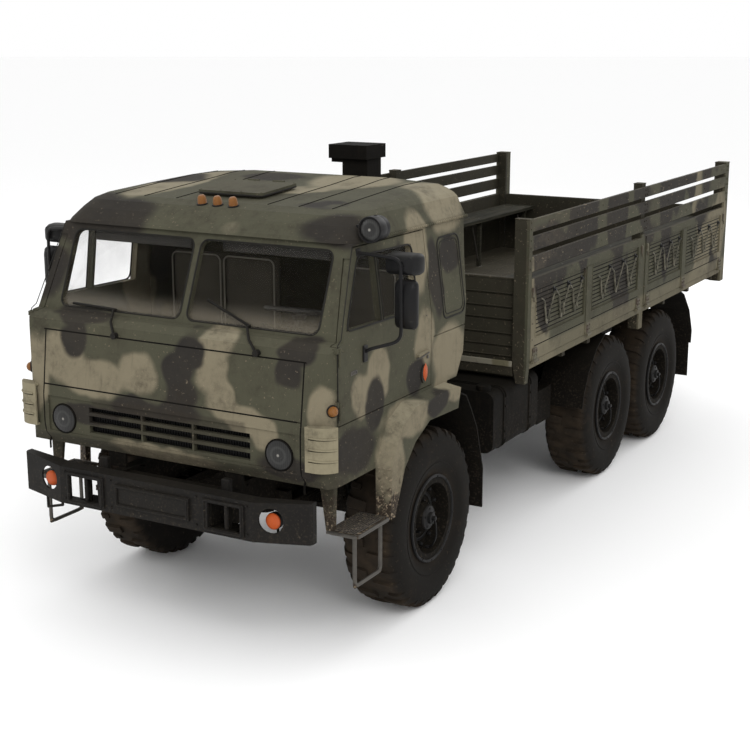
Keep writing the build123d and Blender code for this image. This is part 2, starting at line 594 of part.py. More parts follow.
# (y from, y to, ((field y from, field y to), ...)) of the two drop sides
SIDES = [
    ("front", 1409, 3835, ((1494, 2473), (2645, 3745))),
    ("rear", 3945, 6335, ((4035, 4960), (5125, 6245))),
]
FIELD_Z = (1573, 1946)
RIB_Z = (1631, 1694, 1757, 1820, 1883)


def drop_side(y0, y1, fields):
    board = box(BED_HALF - BOARD_T, BED_HALF, y0, y1, 1402, BOARD_TOP)
    for f0, f1 in fields:
        board = board - box(BED_HALF - 11, BED_HALF + 5, f0, f1, *FIELD_Z)
        for z in RIB_Z:
            board = board - box(BED_HALF - 18, BED_HALF + 5, f0, f1, z - 5, z + 5)
        board = board - box(BED_HALF - 7, BED_HALF + 5, f0 - 20, f1 + 20, 1503, 1511)
    post_y = (fields[0][1] + fields[1][0]) / 2
    board = board + box(BED_HALF, BED_HALF + 7, post_y - 55, post_y + 55, 1402, 1950)
    for y in (y0 + 70, post_y, y1 - 70):
        board = board + box(BED_HALF - 2, BED_HALF + 8, y - 45, y + 45, 1402,
            1440) + rod_y(SIDE_HINGE_X, y - 45, y + 45, SIDE_HINGE_Z, 10)
        board = board + box(BED_HALF - 8, SIDE_HINGE_X + 2, y - 45, y + 45, 1401, 1408)
    return board


for label, y0, y1, fields in SIDES:
    board = drop_side(y0, y1, fields)
    keep("side_" + label + "_left", board)
    keep("side_" + label + "_right", mirror(board, about=Plane.YZ))

GATE = (6345, 6391)
gate = box(8 - PANEL_HALF, PANEL_HALF - 8, *GATE, 1402, BOARD_TOP)
for f0, f1 in ((90 - PANEL_HALF, -60), (60, PANEL_HALF - 90)):
    gate = gate - box(f0, f1, GATE[1] - 11, GATE[1] + 5, *FIELD_Z)
    for z in RIB_Z:
        gate = gate - box(f0, f1, GATE[1] - 18, GATE[1] + 5, z - 5, z + 5)
for x in (-1000, 0, 1000):
    gate = gate + box(x - 45, x + 45, GATE[1] - 2, GATE[1] + 8, 1402, 1440) + rod_x(x - 45, x + 45,
        *GATE_HINGE, 10)
    gate = gate + box(x - 45, x + 45, GATE[1] - 8, GATE[1] + 16, 1401, 1408)
keep("tailgate", gate)

BENCH_OUT = BED_HALF - 135
bench = fuse(*[box(x0, x1, 1460, 6320, BENCH_TOP - 28, BENCH_TOP) for x0,
    x1 in ((BENCH_IN, BENCH_IN + 160), (BENCH_IN + 168, BENCH_OUT))])
for y in (1640, 2760, 3890, 5020, 6140):
    bench = fuse(bench, box(BENCH_IN + 20, BENCH_OUT - 4, y - 20, y + 20, BENCH_TOP - 58,
        BENCH_TOP - 28), box(BENCH_IN + 28, BENCH_IN + 64, y - 20, y + 20, FLOOR_TOP, BENCH_TOP - 40))
keep("bench_left", bench)
keep("bench_right", mirror(bench, about=Plane.YZ))

tail = box(600, 820, 6300, 6336, 1110, 1220) + box(690, 730, 6300, 6318, 1215, 1270)
keep("tail_lamps", *both(tail))

# ---------------------------------------------------------------- wheels
TYRE_SIDES = 16
LUG_HALF = 42
# (distance from the wheel's middle plane, radius) of the tyre's flat-sided carcass, then of a lug
CARCASS = [
    (-158, 276), (-196, 420), (-176, TYRE_R - 54), (-158, TYRE_R - 38),
    (158, TYRE_R - 38), (176, TYRE_R - 54), (196, 420), (158, 276),
]
LUG = [(14, TYRE_R - 60), (14, TYRE_R), (150, TYRE_R), (170, TYRE_R - 60)]
SEAT_R = 272.3  # 0.3 mm outside the rim
RIM = [(-165, 292), (-175, 292), (-175, 240), (60, 232), (60, 120), (20, 96), (20, 0), (36, 0),
    (36, 92), (78, 118), (78, 236), (175, 240), (175, 292), (165, 292), (158, 272), (-158, 272)]
HUB_CAP = [(36, 0), (36, 112), (100, 96), (150, 74), (156, 0)]


def tyre_ring(x, radius):
    corner = radius / math.cos(math.pi / TYRE_SIDES)
    turn = [2 * math.pi * (k + 0.5) / TYRE_SIDES for k in range(TYRE_SIDES)]
    return make_face(Polyline(*[(x, corner * math.sin(a), corner * math.cos(a)) for a in turn], close=True))


# one tyre about the x axis, with staggered lugs on its two halves
tyre_plain = loft([tyre_ring(x, radius) for x, radius in CARCASS], ruled=True)
tyre_plain = tyre_plain - Pos(-300, 0, 0) * extrude(tyre_ring(0, SEAT_R), amount=600, dir=(1, 0, 0))
for s in (-1, 1):
    lug = prism_y([(s * x, z) for x, z in LUG], -LUG_HALF, LUG_HALF)
    for k in range(TYRE_SIDES):
        tyre_plain = tyre_plain + Rot((k + (0.5 if s > 0 else 0)) * 360 / TYRE_SIDES, 0, 0) * lug


def wheel(y):
    rim = ring_x([(TRACK_HALF + x, r) for x, r in RIM], y, HUB_Z)
    rim = rim + ring_x([(TRACK_HALF + x, r) for x, r in HUB_CAP], y, HUB_Z)
    return Pos(TRACK_HALF, y, HUB_Z) * tyre_plain, rim


for label, y in (("front", 0), ("mid", MID_AXLE), ("rear", REAR_AXLE)):
    tyre, rim = wheel(y)
    keep("tyre_" + label + "_left", tyre)
    keep("rim_" + label + "_left", rim)
    keep("tyre_" + label + "_right", mirror(tyre, about=Plane.YZ))
    keep("rim_" + label + "_right", mirror(rim, about=Plane.YZ))

knuckle = fuse(rod_z(KINGPIN_X, 0, 500, 720, 42), rod_x(KINGPIN_X, SEAT_X, 0, HUB_Z, 42),
    rod_x(986, DRUM[1], 0, HUB_Z, DRUM[2]))
keep("knuckle_left", knuckle)
keep("knuckle_right", mirror(knuckle, about=Plane.YZ))

# ---------------------------------------------------------------- export
for name, solids in PARTS.items():
    piece = solids[0] if len(solids) == 1 else Compound(children=solids)
    export_step(Pos(0, ROW_SHIFT, 0) * piece, "parts/" + name + ".step")
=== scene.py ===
import bpy
import math
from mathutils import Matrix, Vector


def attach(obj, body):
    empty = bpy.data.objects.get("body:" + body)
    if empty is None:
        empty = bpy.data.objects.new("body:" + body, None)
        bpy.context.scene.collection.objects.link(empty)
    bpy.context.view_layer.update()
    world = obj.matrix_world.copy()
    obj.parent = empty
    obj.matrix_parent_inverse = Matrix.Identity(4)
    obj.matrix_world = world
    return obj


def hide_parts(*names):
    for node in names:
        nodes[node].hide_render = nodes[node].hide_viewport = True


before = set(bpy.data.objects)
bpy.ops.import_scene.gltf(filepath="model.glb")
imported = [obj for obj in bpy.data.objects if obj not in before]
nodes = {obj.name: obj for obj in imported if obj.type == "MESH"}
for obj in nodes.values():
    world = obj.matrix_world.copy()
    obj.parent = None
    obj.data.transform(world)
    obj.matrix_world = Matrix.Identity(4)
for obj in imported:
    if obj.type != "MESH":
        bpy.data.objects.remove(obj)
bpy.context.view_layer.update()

# ---- the camera
# It stands ahead of the truck on its left, a little above the roof, and looks back and down.
az, el = math.radians(29.370), math.radians(13.724)
look = Vector((-math.sin(az) * math.cos(el), math.cos(az) * math.cos(el), -math.sin(el)))
eye = bpy.data.objects.new("camera", bpy.data.cameras.new("camera"))
eye.data.sensor_width, eye.data.lens = 36.0, 67.892
eye.data.clip_start, eye.data.clip_end = 0.1, 200.0
eye.location = (5.2487, -10.4749, 3.7749)
eye.rotation_mode = "QUATERNION"
eye.rotation_quaternion = look.to_track_quat("-Z", "Y")
bpy.context.scene.collection.objects.link(eye)
bpy.context.scene.camera = eye

# ---- frame, axles and tanks
# The frame, axles, springs, tanks and engine are welded and cast steel, bolted together. They are
# sprayed in one thin coat of black, which road dust, thrown mud and stone chips have dulled.


class Wire:
    """One output of a shader node, which adds, multiplies and compares like a number."""

    def __init__(self, finish, node, out=0):
        self.finish, self.source = finish, node
        self.out = node.outputs[out] if node.outputs else None

    def at(self, name):
        # another output of the same node
        return Wire(self.finish, self.source, name)

    def __add__(self, other):
        return self.finish.math("ADD", self, other)

    def __radd__(self, other):
        return self.finish.math("ADD", other, self)

    def __sub__(self, other):
        return self.finish.math("SUBTRACT", self, other)

    def __rsub__(self, other):
        return self.finish.math("SUBTRACT", other, self)

    def __mul__(self, other):
        return self.finish.math("MULTIPLY", self, other)

    def __rmul__(self, other):
        return self.finish.math("MULTIPLY", other, self)

    def __or__(self, other):
        # the larger of the two
        return self.finish.math("MAXIMUM", self, other)

    def __and__(self, other):
        # the smaller of the two
        return self.finish.math("MINIMUM", self, other)

    def step(self, low, high):
        return self.finish.node("ShaderNodeMapRange", {"interpolation_type": "SMOOTHSTEP"},
                                {0: self, 1: low, 2: high})


class Finish:
    """A material made of nodes, placed by the surface's own coordinates; coat() ends it."""

    def __init__(self, name):
        self.material = bpy.data.materials.new(name)
        self.material.use_nodes = True
        self.tree = self.material.node_tree
        self.tree.nodes.clear()
        self.point = self.node("ShaderNodeTexCoord").at("Object")
        split = self.node("ShaderNodeSeparateXYZ", {}, {0: self.point})
        self.x, self.y, self.z = (split.at(axis) for axis in "XYZ")

    def node(self, kind, settings=None, inputs=None):
        made = self.tree.nodes.new(kind)
        for key, value in (settings or {}).items():
            setattr(made, key, value)
        for key, value in (inputs or {}).items():
            if isinstance(value, Wire):
                self.tree.links.new(value.out, made.inputs[key])
            else:
                made.inputs[key].default_value = value
        return Wire(self, made)

    def math(self, kind, *values):
        return self.node("ShaderNodeMath", {"operation": kind}, dict(enumerate(values)))

    def noise(self, scale, detail=3.0, rough=0.55, stretch=(1, 1, 1)):
        # a larger stretch along an axis makes its marks shorter that way
        place = self.node("ShaderNodeVectorMath", {"operation": "MULTIPLY"}, {0: self.point, 1: stretch})
        return self.node("ShaderNodeTexNoise", {"normalize": True},
                         {"Vector": place, "Scale": scale, "Detail": detail, "Roughness": rough})

    def upward(self):
        # 1 where the surface faces the sky, -1 where it faces the ground
        normal = self.node("ShaderNodeNewGeometry").at("Normal")
        return self.node("ShaderNodeSeparateXYZ", {}, {0: normal}).at("Z")

    def from_point(self, x, z):
        # metres from a point, seen along the truck
        flat = self.node("ShaderNodeCombineXYZ", {}, {0: self.x, 2: self.z})
        reach = self.node("ShaderNodeVectorMath", {"operation": "DISTANCE"}, {0: flat, 1: (x, 0, z)})
        return reach.at("Value")

    def mix(self, share, first, second):
        # two colours, with this share of the second
        opaque = lambda c: c if isinstance(c, Wire) else (*c, 1.0)
        return self.node("ShaderNodeMix", {"data_type": "RGBA"},
                         {0: share, 6: opaque(first), 7: opaque(second)}).at(2)

    def coat(self, color, rough, bump=None, height=0.002, **fixed):
        # fixed holds what is the same all over, by socket names with _ for a space
        inputs = {"Base Color": color if isinstance(color, Wire) else (*color, 1.0), "Roughness": rough}
        inputs.update({key.replace("_", " "): value for key, value in fixed.items()})
        if bump is not None:
            inputs["Normal"] = self.node("ShaderNodeBump", {},
                                         {"Strength": 1.0, "Distance": height, "Height": bump})
        shader = self.node("ShaderNodeBsdfPrincipled", {}, inputs)
        self.node("ShaderNodeOutputMaterial", {}, {0: shader})
        return self.material


MUD, DUST, CHIP = (0.026, 0.019, 0.013), (0.110, 0.094, 0.064), (0.24, 0.19, 0.13)
GRIT = (0.020, 0.0155, 0.0105)


def weathered(skin, base, dust, mud, chips, mud_top=1.35, fade=1.0):
    # dust above, rain streaks, mud below and chipped paint, each from its own noise
    up = skin.upward()
    cloud, grain, fine = skin.noise(1.7, 5), skin.noise(14.0, 4), skin.noise(90.0, 2)
    # long upright marks left by the rain
    streak = skin.noise(3.0, 4, 0.6, (9.0, 9.0, 0.7))
    color = skin.mix(((cloud - 0.5) * 0.5 + 0.22 * grain) * fade, base, skin.mix(0.5, base, DUST))
    color = skin.mix(up.step(0.35, 1.0) * (0.25 + cloud * 0.5) * dust, color, DUST)
    color = skin.mix(streak.step(0.55, 0.78) * 0.5, color, skin.mix(0.55, color, MUD))
    # mud lies thickest below 0.75 m and thins out up to mud_top
    low = (1 - skin.z.step(0.75, mud_top)) * mud
    color = skin.mix((grain + low * 0.55).step(0.78, 0.95) * 0.8 + low * 0.3, color, MUD)
    grit = 0.35 + 0.65 * skin.noise(26.0, 4, 0.7).step(0.36, 0.62)
    grit = skin.noise(3.1, 6, 0.72).step(0.44, 0.70) * grit
    color = skin.mix(grit * 0.55 * fade, color, GRIT)
    color = skin.mix(skin.noise(62.0, 3, 0.6).step(0.55, 0.64) * low * 0.55, color, skin.mix(0.5, MUD, CHIP))
    # stone chips, with more of them low down
    spots = (skin.noise(48.0, 3, 0.65) + low * 0.10).step(0.695 - 0.045 * chips, 0.725 - 0.035 * chips)
    color = skin.mix(spots * (0.35 + low * 0.5) * chips, color, CHIP)
    return color, 0.74 + 0.14 * cloud, fine * 0.3 + grain * 0.5 - spots * 0.4


def dark_paint(name, color, dust, mud, chips, rough=0.55, gloss=0.10):
    skin = Finish(name)
    color, _, bump = weathered(skin, color, dust, mud, chips, fade=0.25)
    scratch = skin.noise(5.0, 6, 0.75, (1.0, 1.0, 7.0)).step(0.665, 0.69) * 0.35
    color = skin.mix(scratch, color, (0.11, 0.10, 0.085))
    return skin.coat(color, rough + 0.25 * skin.noise(7.0, 3), bump, 0.001, Specular_IOR_Level=gloss)


def paint(finish, *names):
    for name in names:
        for slot in nodes[name].material_slots:
            slot.material = finish


CHASSIS = dark_paint("chassis_paint", (0.004, 0.0037, 0.0033), 0.04, 0.22, 0.15, 0.6, 0.04)
paint(CHASSIS, "frame_rails", "front_axle", "rear_axles", "leaf_springs", "driveline", "fuel_tanks",
      "side_boxes", "knuckle_left", "knuckle_right", "engine_block", "mudguards", "air_stack")
for label in ("front", "mid", "rear"):
    paint(CHASSIS, "rim_" + label + "_left", "rim_" + label + "_right")

# ---- tank straps, springs and axle fittings
# Two steel straps with a tension bolt hold each tank, with a filler cap on top. The springs are
# packed leaves with clips, dampers stand beside the front ones, and bolted covers close the axles.
# Sizes are in millimetres, as in the truck's drawing, with y = 0 on the front axle.
FRONT_AXLE = -2.5  # its y in the frame, in metres
WHEEL_Z = 610
AXLE_Y = {"front": 0, "mid": 3340, "rear": 4660}


class Kit:
    """Many small parts joined into one piece, which rides on one body."""

    def __init__(self):
        self.verts, self.faces = [], []

    def add(self, verts, faces):
        n = len(self.verts)
        self.verts += [tuple(p) for p in verts]
        self.faces += [[n + i for i in face] for face in faces]
        return self

    def box(self, x0, x1, y0, y1, z0, z1, r=2.0):
        # a box with its twelve edges bevelled by r; x0 and x1 may come in either order
        x0, x1 = sorted((x0, x1))
        r = min(r, (x1 - x0) / 2.01, (y1 - y0) / 2.01, (z1 - z0) / 2.01)
        lo, hi = (x0, y0, z0), (x1, y1, z1)
        # each corner gives three points, one on each of the faces that meet there
        verts, index = [], {}
        for cx in (0, 1):
            for cy in (0, 1):
                for cz in (0, 1):
                    corner = (cx, cy, cz)
                    for axis in range(3):
                        p = []
                        for k in range(3):
                            edge = hi[k] if corner[k] else lo[k]
                            p.append(edge if k == axis else edge + (-r if corner[k] else r))
                        index[corner, axis] = len(verts)
                        verts.append(p)
        # the six faces and the bevels along the twelve edges, then the eight corner triangles
        faces = []
        for axis in range(3):
            a, b = [k for k in range(3) if k != axis]
            for side in (0, 1):
                loop = []
                for ca, cb in ((0, 0), (1, 0), (1, 1), (0, 1)):
                    c = [0, 0, 0]
                    c[axis], c[a], c[b] = side, ca, cb
                    loop.append(index[tuple(c), axis])
                faces.append(loop if (side == 1) == (axis != 1) else loop[::-1])
            for ca in (0, 1):
                for cb in (0, 1):
                    c0, c1 = [0, 0, 0], [0, 0, 0]
                    c0[a], c0[b], c1[a], c1[b] = ca, cb, ca, cb
                    c1[axis] = 1
                    c0, c1 = tuple(c0), tuple(c1)
                    loop = [index[c0, a], index[c1, a], index[c1, b], index[c0, b]]
                    faces.append(loop if (ca == cb) == (axis != 1) else loop[::-1])
        for corner in [(i, j, k) for i in (0, 1) for j in (0, 1) for k in (0, 1)]:
            loop = [index[corner, k] for k in range(3)]
            faces.append(loop if sum(corner) % 2 else loop[::-1])
        return self.add(verts, faces)

    def lathe(self, centre, axis, profile, sides=32):
        # profile is (distance along axis, radius); the ends close when their radius is 0
        w = Vector(axis).normalized()
        u = w.cross(Vector((0, 0, 1)) if abs(w.z) < 0.9 else Vector((1, 0, 0))).normalized()
        v = w.cross(u)
        verts, faces, rings = [], [], []
        for d, r in profile:
            if r < 1e-6:
                rings.append([len(verts)])
                verts.append(Vector(centre) + w * d)
                continue
            rings.append(list(range(len(verts), len(verts) + sides)))
            for i in range(sides):
                a = 2 * math.pi * i / sides
                verts.append(Vector(centre) + w * d + (u * math.cos(a) + v * math.sin(a)) * r)
        for p, q in zip(rings, rings[1:]):
            for i in range(sides):
                j = (i + 1) % sides
                face = [p[i % len(p)], p[j % len(p)], q[j % len(q)], q[i % len(q)]]
                faces.append(list(dict.fromkeys(face)))
        return self.add(verts, [f for f in faces if len(f) > 2])

    def pipe(self, points, r, closed=False, sides=10, flat=1.0):
        # a round bar along the points; flat squeezes it across
        pts = [Vector(p) for p in points]
        n = len(pts)
        verts, faces = [], []
        up = None
        for i, p in enumerate(pts):
            before = pts[i - 1] if closed or i else p
            after = pts[(i + 1) % n] if closed or i < n - 1 else p
            t = ((after - p).normalized() + (p - before).normalized()).normalized()
            if up is None:
                up = t.cross(Vector((0, 0, 1)) if abs(t.z) < 0.9 else Vector((0, 1, 0)))
            up = (up - t * up.dot(t)).normalized()
            side = t.cross(up)
            for k in range(sides):
                a = 2 * math.pi * k / sides
                verts.append(p + (up * math.cos(a) + side * math.sin(a) * flat) * r)
        for i in range(n if closed else n - 1):
            for k in range(sides):
                a, b = i * sides, ((i + 1) % n) * sides
                faces.append([a + k, a + (k + 1) % sides, b + (k + 1) % sides, b + k])
        if not closed:
            faces += [list(range(sides))[::-1], list(range((n - 1) * sides, n * sides))]
        return self.add(verts, faces)

    def bolts(self, places, axis, r, h, sides=6):
        # heads of radius r and height h, each with a small bevel
        for p in places:
            self.lathe(p, axis, [(0, 0), (0, r), (h * 0.8, r), (h, r * 0.8), (h, 0)], sides)
        return self

    def mirrored(self):
        # adds the other side's copy
        n = len(self.verts)
        self.faces += [[n + i for i in face[::-1]] for face in self.faces]
        self.verts += [(-x, y, z) for x, y, z in self.verts]
        return self

    def moved(self, place):
        self.verts = [tuple(place(Vector(p))) for p in self.verts]
        return self

    def done(self, name, finish, body, slot, replaces=(), smooth=35):
        # edges that turn by less than smooth degrees are shaded round
        mesh = bpy.data.meshes.new(name)
        metres = [(x / 1000, y / 1000 + FRONT_AXLE, z / 1000) for x, y, z in self.verts]
        mesh.from_pydata(metres, [], self.faces)
        mesh.validate()
        mesh.materials.append(finish)
        piece = bpy.data.objects.new(name, mesh)
        bpy.context.scene.collection.objects.link(piece)
        if smooth:
            mesh.shade_smooth()
            mesh.set_sharp_from_angle(angle=math.radians(smooth))
        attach(piece, body)
        if replaces:
            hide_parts(*replaces)
        return piece


def round_the(count):
    # the angles of count places spaced evenly round a circle
    return [2 * math.pi * k / count for k in range(count)]


def arc(centre, radius, start, end, count, plane):
    # points on an arc; plane turns (a, b) into a place
    out = []
    for i in range(count + 1):
        a = math.radians(start + (end - start) * i / count)
        out.append(plane(centre[0] + radius * math.cos(a), centre[1] + radius * math.sin(a)))
    return out


def rounded(a0, a1, b0, b1, radius, plane, count=6):
    # a closed loop: a rectangle with round corners
    loop = []
    for ca, cb, start in ((a1 - radius, b1 - radius, 0), (a0 + radius, b1 - radius, 90),
                          (a0 + radius, b0 + radius, 180), (a1 - radius, b0 + radius, 270)):
        loop += arc((ca, cb), radius, start, start + 90, count, plane)
    return loop


TANK_STRAPS_Y = (1120, 1580)
LEAVES = ((700, 822), (560, 806), (430, 790), (310, 774), (200, 758))  # half length and height of each leaf
gear = Kit()
for s in (1, -1):
    for y in TANK_STRAPS_Y:
        loop = rounded(616, 1204, 796, 1259, 74, lambda a, b: Vector((s * a, y, b)), 6)
        gear.pipe(loop, 4, True, 6).pipe([p + Vector((0, 34, 0)) for p in loop], 4, True, 6)
        gear.box(s * 1196, s * 1207, y, y + 34, 870, 1185, 2)
        gear.bolts([(s * 1207, y + 17, z) for z in (930, 1120)], (s, 0, 0), 9, 8)
    gear.lathe((s * 1090, 1010, 1255), (0, 0, 1),
               [(0, 0), (0, 52), (14, 54), (34, 54), (38, 48), (38, 0)], 28)
    gear.bolts([(s * 1180, 960, 1160)], (s, 0, 0), 10, 8)
    for k, (half, z) in enumerate(LEAVES):
        gear.box(s * 452, s * 538, -half, half, z - 7, z + 6, 3)
        gear.box(s * 452, s * 548, 4000 - half * 0.9, 4000 + half * 0.9, 866 - k * 16, 878 - k * 16, 3)
    for y in (-60, 60, 3940, 4060):
        gear.box(s * 446, s * 544, y - 12, y + 12, 690 if y < 100 else 735, 838 if y < 100 else 892, 3)
    gear.pipe([(s * 585, -230, 1020), (s * 585, -120, 720)], 34, sides=16)
    gear.pipe([(s * 585, -250, 1075), (s * 585, -225, 1010)], 24, sides=12)
    gear.box(s * 440, s * 600, -268, -232, 1040, 1080, 5)
    for y in (AXLE_Y["mid"], AXLE_Y["rear"]):
        gear.bolts([(s * 905, y + 160 * math.sin(a), WHEEL_Z + 160 * math.cos(a)) for a in round_the(12)],
                   (-s, 0, 0), 8, 10)
    gear.bolts([(s * 360, y, z) for y in range(-1200, 6300, 150) for z in (830, 1020)], (s, 0, 0), 7, 86, 8)
gear.done("chassis_fittings", CHASSIS, "truck", "black_paint")
diff = Kit()
for label, x, face in (("mid", -60, -1), ("rear", -60, -1), ("front", -140, 1)):
    y = AXLE_Y[label]
    diff.lathe((x, y, WHEEL_Z), (0, face, 0),
               [(120, 0), (120, 150), (175, 148), (190, 120), (250, 90), (262, 60), (262, 0)], 32)
    diff.bolts([(x + 168 * math.sin(a), y + face * 118, WHEEL_Z + 168 * math.cos(a)) for a in round_the(14)],
               (0, face, 0), 9, 12)
diff.done("axle_housings", CHASSIS, "truck", "black_paint")

# ---- tyres
# Off-road tyres with a broad smooth side wall and a round shoulder. Two rows of bars stand round
# the tread, with a short block between each two, and dried mud packs the grooves.
TRACK_HALF = 1025
tyre = Finish("tyre_rubber")
# how far from the tyre's middle plane
across = tyre.math("ABSOLUTE", tyre.math("ABSOLUTE", tyre.x) - TRACK_HALF / 1000)
dirt = tyre.noise(7.0, 5, 0.6)
cake = (0.35 + 0.65 * dirt.step(0.35, 0.70)) * (1 - across.step(0.14, 0.185)) | dirt.step(0.52, 0.80) * 0.35
rubber = tyre.mix(cake, (0.0080, 0.0070, 0.0058), (0.030, 0.0215, 0.014))
RUBBER = tyre.coat(tyre.mix(tyre.noise(40.0, 3).step(0.64, 0.74) * 0.35, rubber, (0.075, 0.058, 0.038)),
                   0.82 + 0.1 * dirt, dirt + 0.3 * tyre.noise(60.0, 3), 0.002, Specular_IOR_Level=0.10)
# (distance from the wheel's middle plane, radius) of the mud-filled carcass, a bar and a block
CARCASS = [(0, 590), (60, 590), (120, 588), (148, 583), (168, 570), (182, 548), (191, 515), (195, 475),
           (196, 435), (192, 402), (186, 386), (190, 380), (186, 370), (176, 346), (166, 320), (161, 300),
           (163, 292), (158, 284)]
BAR = [(14, 608), (60, 610), (110, 609.5), (142, 607), (160, 597), (174, 576), (183, 550)]
BLOCK = [(84, 600), (110, 604), (144, 602), (162, 591), (176, 570), (184, 548)]
LUGS = 16  # bars on each side, with a block between each two
tread = Kit()
ring = [(-x, r) for x, r in CARCASS[::-1]] + CARCASS[1:]
tread.lathe((0, 0, 0), (1, 0, 0), ring, 96)
for i in range(LUGS * 2):
    # its profile, then its half angle at the inner and at the outer end
    bar, half0, half1 = (BAR, 0.052, 0.070) if i % 2 == 0 else (BLOCK, 0.030, 0.040)
    for side in (-1, 1):
        middle = math.pi * (i + (1 if side > 0 else 0)) / LUGS
        verts, rows = [], len(bar)
        for k, (x, r) in enumerate(bar):
            # a section has four points, two on top and two that are sunk and wider
            t = k / (rows - 1)
            turn = middle + side * 0.05 * (0.5 - t)
            for depth, wide in ((0, 0.90), (26, 1.10)):
                for e in (-1, 1):
                    a = turn + e * (half0 + (half1 - half0) * t) * wide
                    rr = r - depth * (1 if x < 150 else 0.6)
                    verts.append((side * (x - depth * 0.4 * (x > 150)), rr * math.sin(a), rr * math.cos(a)))
        last = 4 * rows - 4
        faces = [[0, 1, 3, 2], [last, last + 2, last + 3, last + 1]]
        for p in range(0, last, 4):
            q = p + 4
            faces += [[p, q, q + 1, p + 1], [p + 1, q + 1, q + 3, p + 3], [p + 2, p + 3, q + 3, q + 2],
                      [p, p + 2, q + 2, q]]
        tread.add(verts, [f[::-1] if side > 0 else f for f in faces])

# ---- wheels
# Pressed steel discs bolted to the drum by ten studs, with a planetary hub, a clamp ring at the
# bead and the tyre-inflation pipe curving from the hub to the rim.
SMOOTH_BLACK = dark_paint("smooth_black", (0.008, 0.008, 0.0085), 0.06, 0.0, 0.1, 0.30)


def soften(points, radius, count=5):
    # rounds the corners of an open run of points
    pts = [Vector(p) for p in points]
    out = [pts[0]]
    for a, b, c in zip(pts, pts[1:], pts[2:]):
        d = min(radius, (b - a).length * 0.45, (c - b).length * 0.45)
        p, q = b + (a - b).normalized() * d, b + (c - b).normalized() * d
        out += [p.lerp(b, t).lerp(b.lerp(q, t), t) for t in (i / count for i in range(count + 1))]
    return out + [pts[-1]]


HANDS = ((1, "left"), (-1, "right"))
for label, y in AXLE_Y.items():
    for s, hand in HANDS:
        here = lambda p: Vector((s * (TRACK_HALF + p.x), y + p.y, WHEEL_Z + p.z))
        body = "wheel_" + label + "_" + hand
        casing = Kit()
        casing.verts = list(tread.verts)
        casing.faces = [list(f) if s > 0 else list(f[::-1]) for f in tread.faces]
        casing.moved(here).done("tyre_" + body, RUBBER, body, "tyre_rubber",
                                ("tyre_" + label + "_" + hand,), 40)
        disc = Kit()
        disc.lathe((0, 0, 0), (1, 0, 0),
                   [(166, 296), (176, 299), (183, 294), (183, 284), (176, 279), (150, 276)], 64)
        disc.lathe((0, 0, 0), (1, 0, 0), [(76, 168), (84, 172), (88, 166), (88, 150), (84, 146)], 48)
        turn = round_the(10)
        disc.bolts([(80, 196 * math.sin(a), 196 * math.cos(a)) for a in turn], (1, 0, 0), 15, 22)
        disc.bolts([(34, 108 * math.sin(a + 0.3), 108 * math.cos(a + 0.3)) for a in turn], (1, 0, 0), 7, 66)
        clamps = [0.2 + b * 0.5 for b in range(12)]
        disc.bolts([(176, 287 * math.sin(a), 287 * math.cos(a)) for a in clamps], (1, 0, 0), 6, 12)
        disc.lathe((0, 0, 0), (1, 0, 0),
                   [(140, 84), (150, 80), (158, 62), (160, 40), (176, 38), (180, 30), (180, 0)], 40)
        disc.bolts([(152, 62 * math.sin(a), 62 * math.cos(a)) for a in turn[::2]], (1, 0, 0), 8, 10)
        air_pipe = [(178, 8, 0), (196, 10, -40), (190, 30, -140), (150, 50, -210), (120, 52, -232)]
        disc.pipe(soften(air_pipe, 60), 7)
        disc.lathe((176, 0, 0), (1, 0, 0), [(0, 0), (0, 18), (22, 16), (26, 10), (26, 0)], 16)
        disc.box(96, 126, 34, 70, -252, -222, 5)
        if s < 0:
            disc.faces = [f[::-1] for f in disc.faces]
        disc.moved(here).done("hub_" + body, SMOOTH_BLACK, body, "black_paint")
        bead = Kit()
        bead.lathe((0, 0, 0), (1, 0, 0), [(178, 288), (185, 291), (185, 294), (181, 297)], 64)
        if s < 0:
            bead.faces = [f[::-1] for f in bead.faces]
        bead.moved(here).done("bead_ring_" + body, SMOOTH_BLACK, body, "black_paint")

# ---- bumper
# A pressed steel bumper with welded frames round its openings and a blank plate recess. Tow pins
# stand in the openings, and brackets bolt it to the frame.
BLACK = dark_paint("black_paint", (0.0085, 0.008, 0.0075), 0.06, 0.20, 0.4, 0.42, 0.08)
paint(BLACK, "front_bumper")
front = Kit()
for s in (1, -1):
    x0, x1 = sorted((s * 388, s * 674))
    front.pipe(rounded(x0 + 8, x1 - 8, 850, 1036, 16, lambda a, b: Vector((a, -1452, b)), 4), 7, True, 8)
    front.pipe([(s * 540, -1420, 862), (s * 540, -1420, 1022)], 14, sides=14)
    front.bolts([(s * x, -1441, z) for x in (330, 700) for z in (862, 1040)], (0, -1, 0), 9, 7)
    front.box(s * 398, s * 542, -1420, -1330, 1046, 1066, 4)
    front.box(s * 440, s * 500, -1330, -1290, 1040, 1140, 5)
front.pipe(rounded(-272, 272, 890, 1012, 12, lambda a, b: Vector((a, -1460, b)), 4), 5, True, 8)
front.done("bumper_fittings", BLACK, "truck", "black_paint")

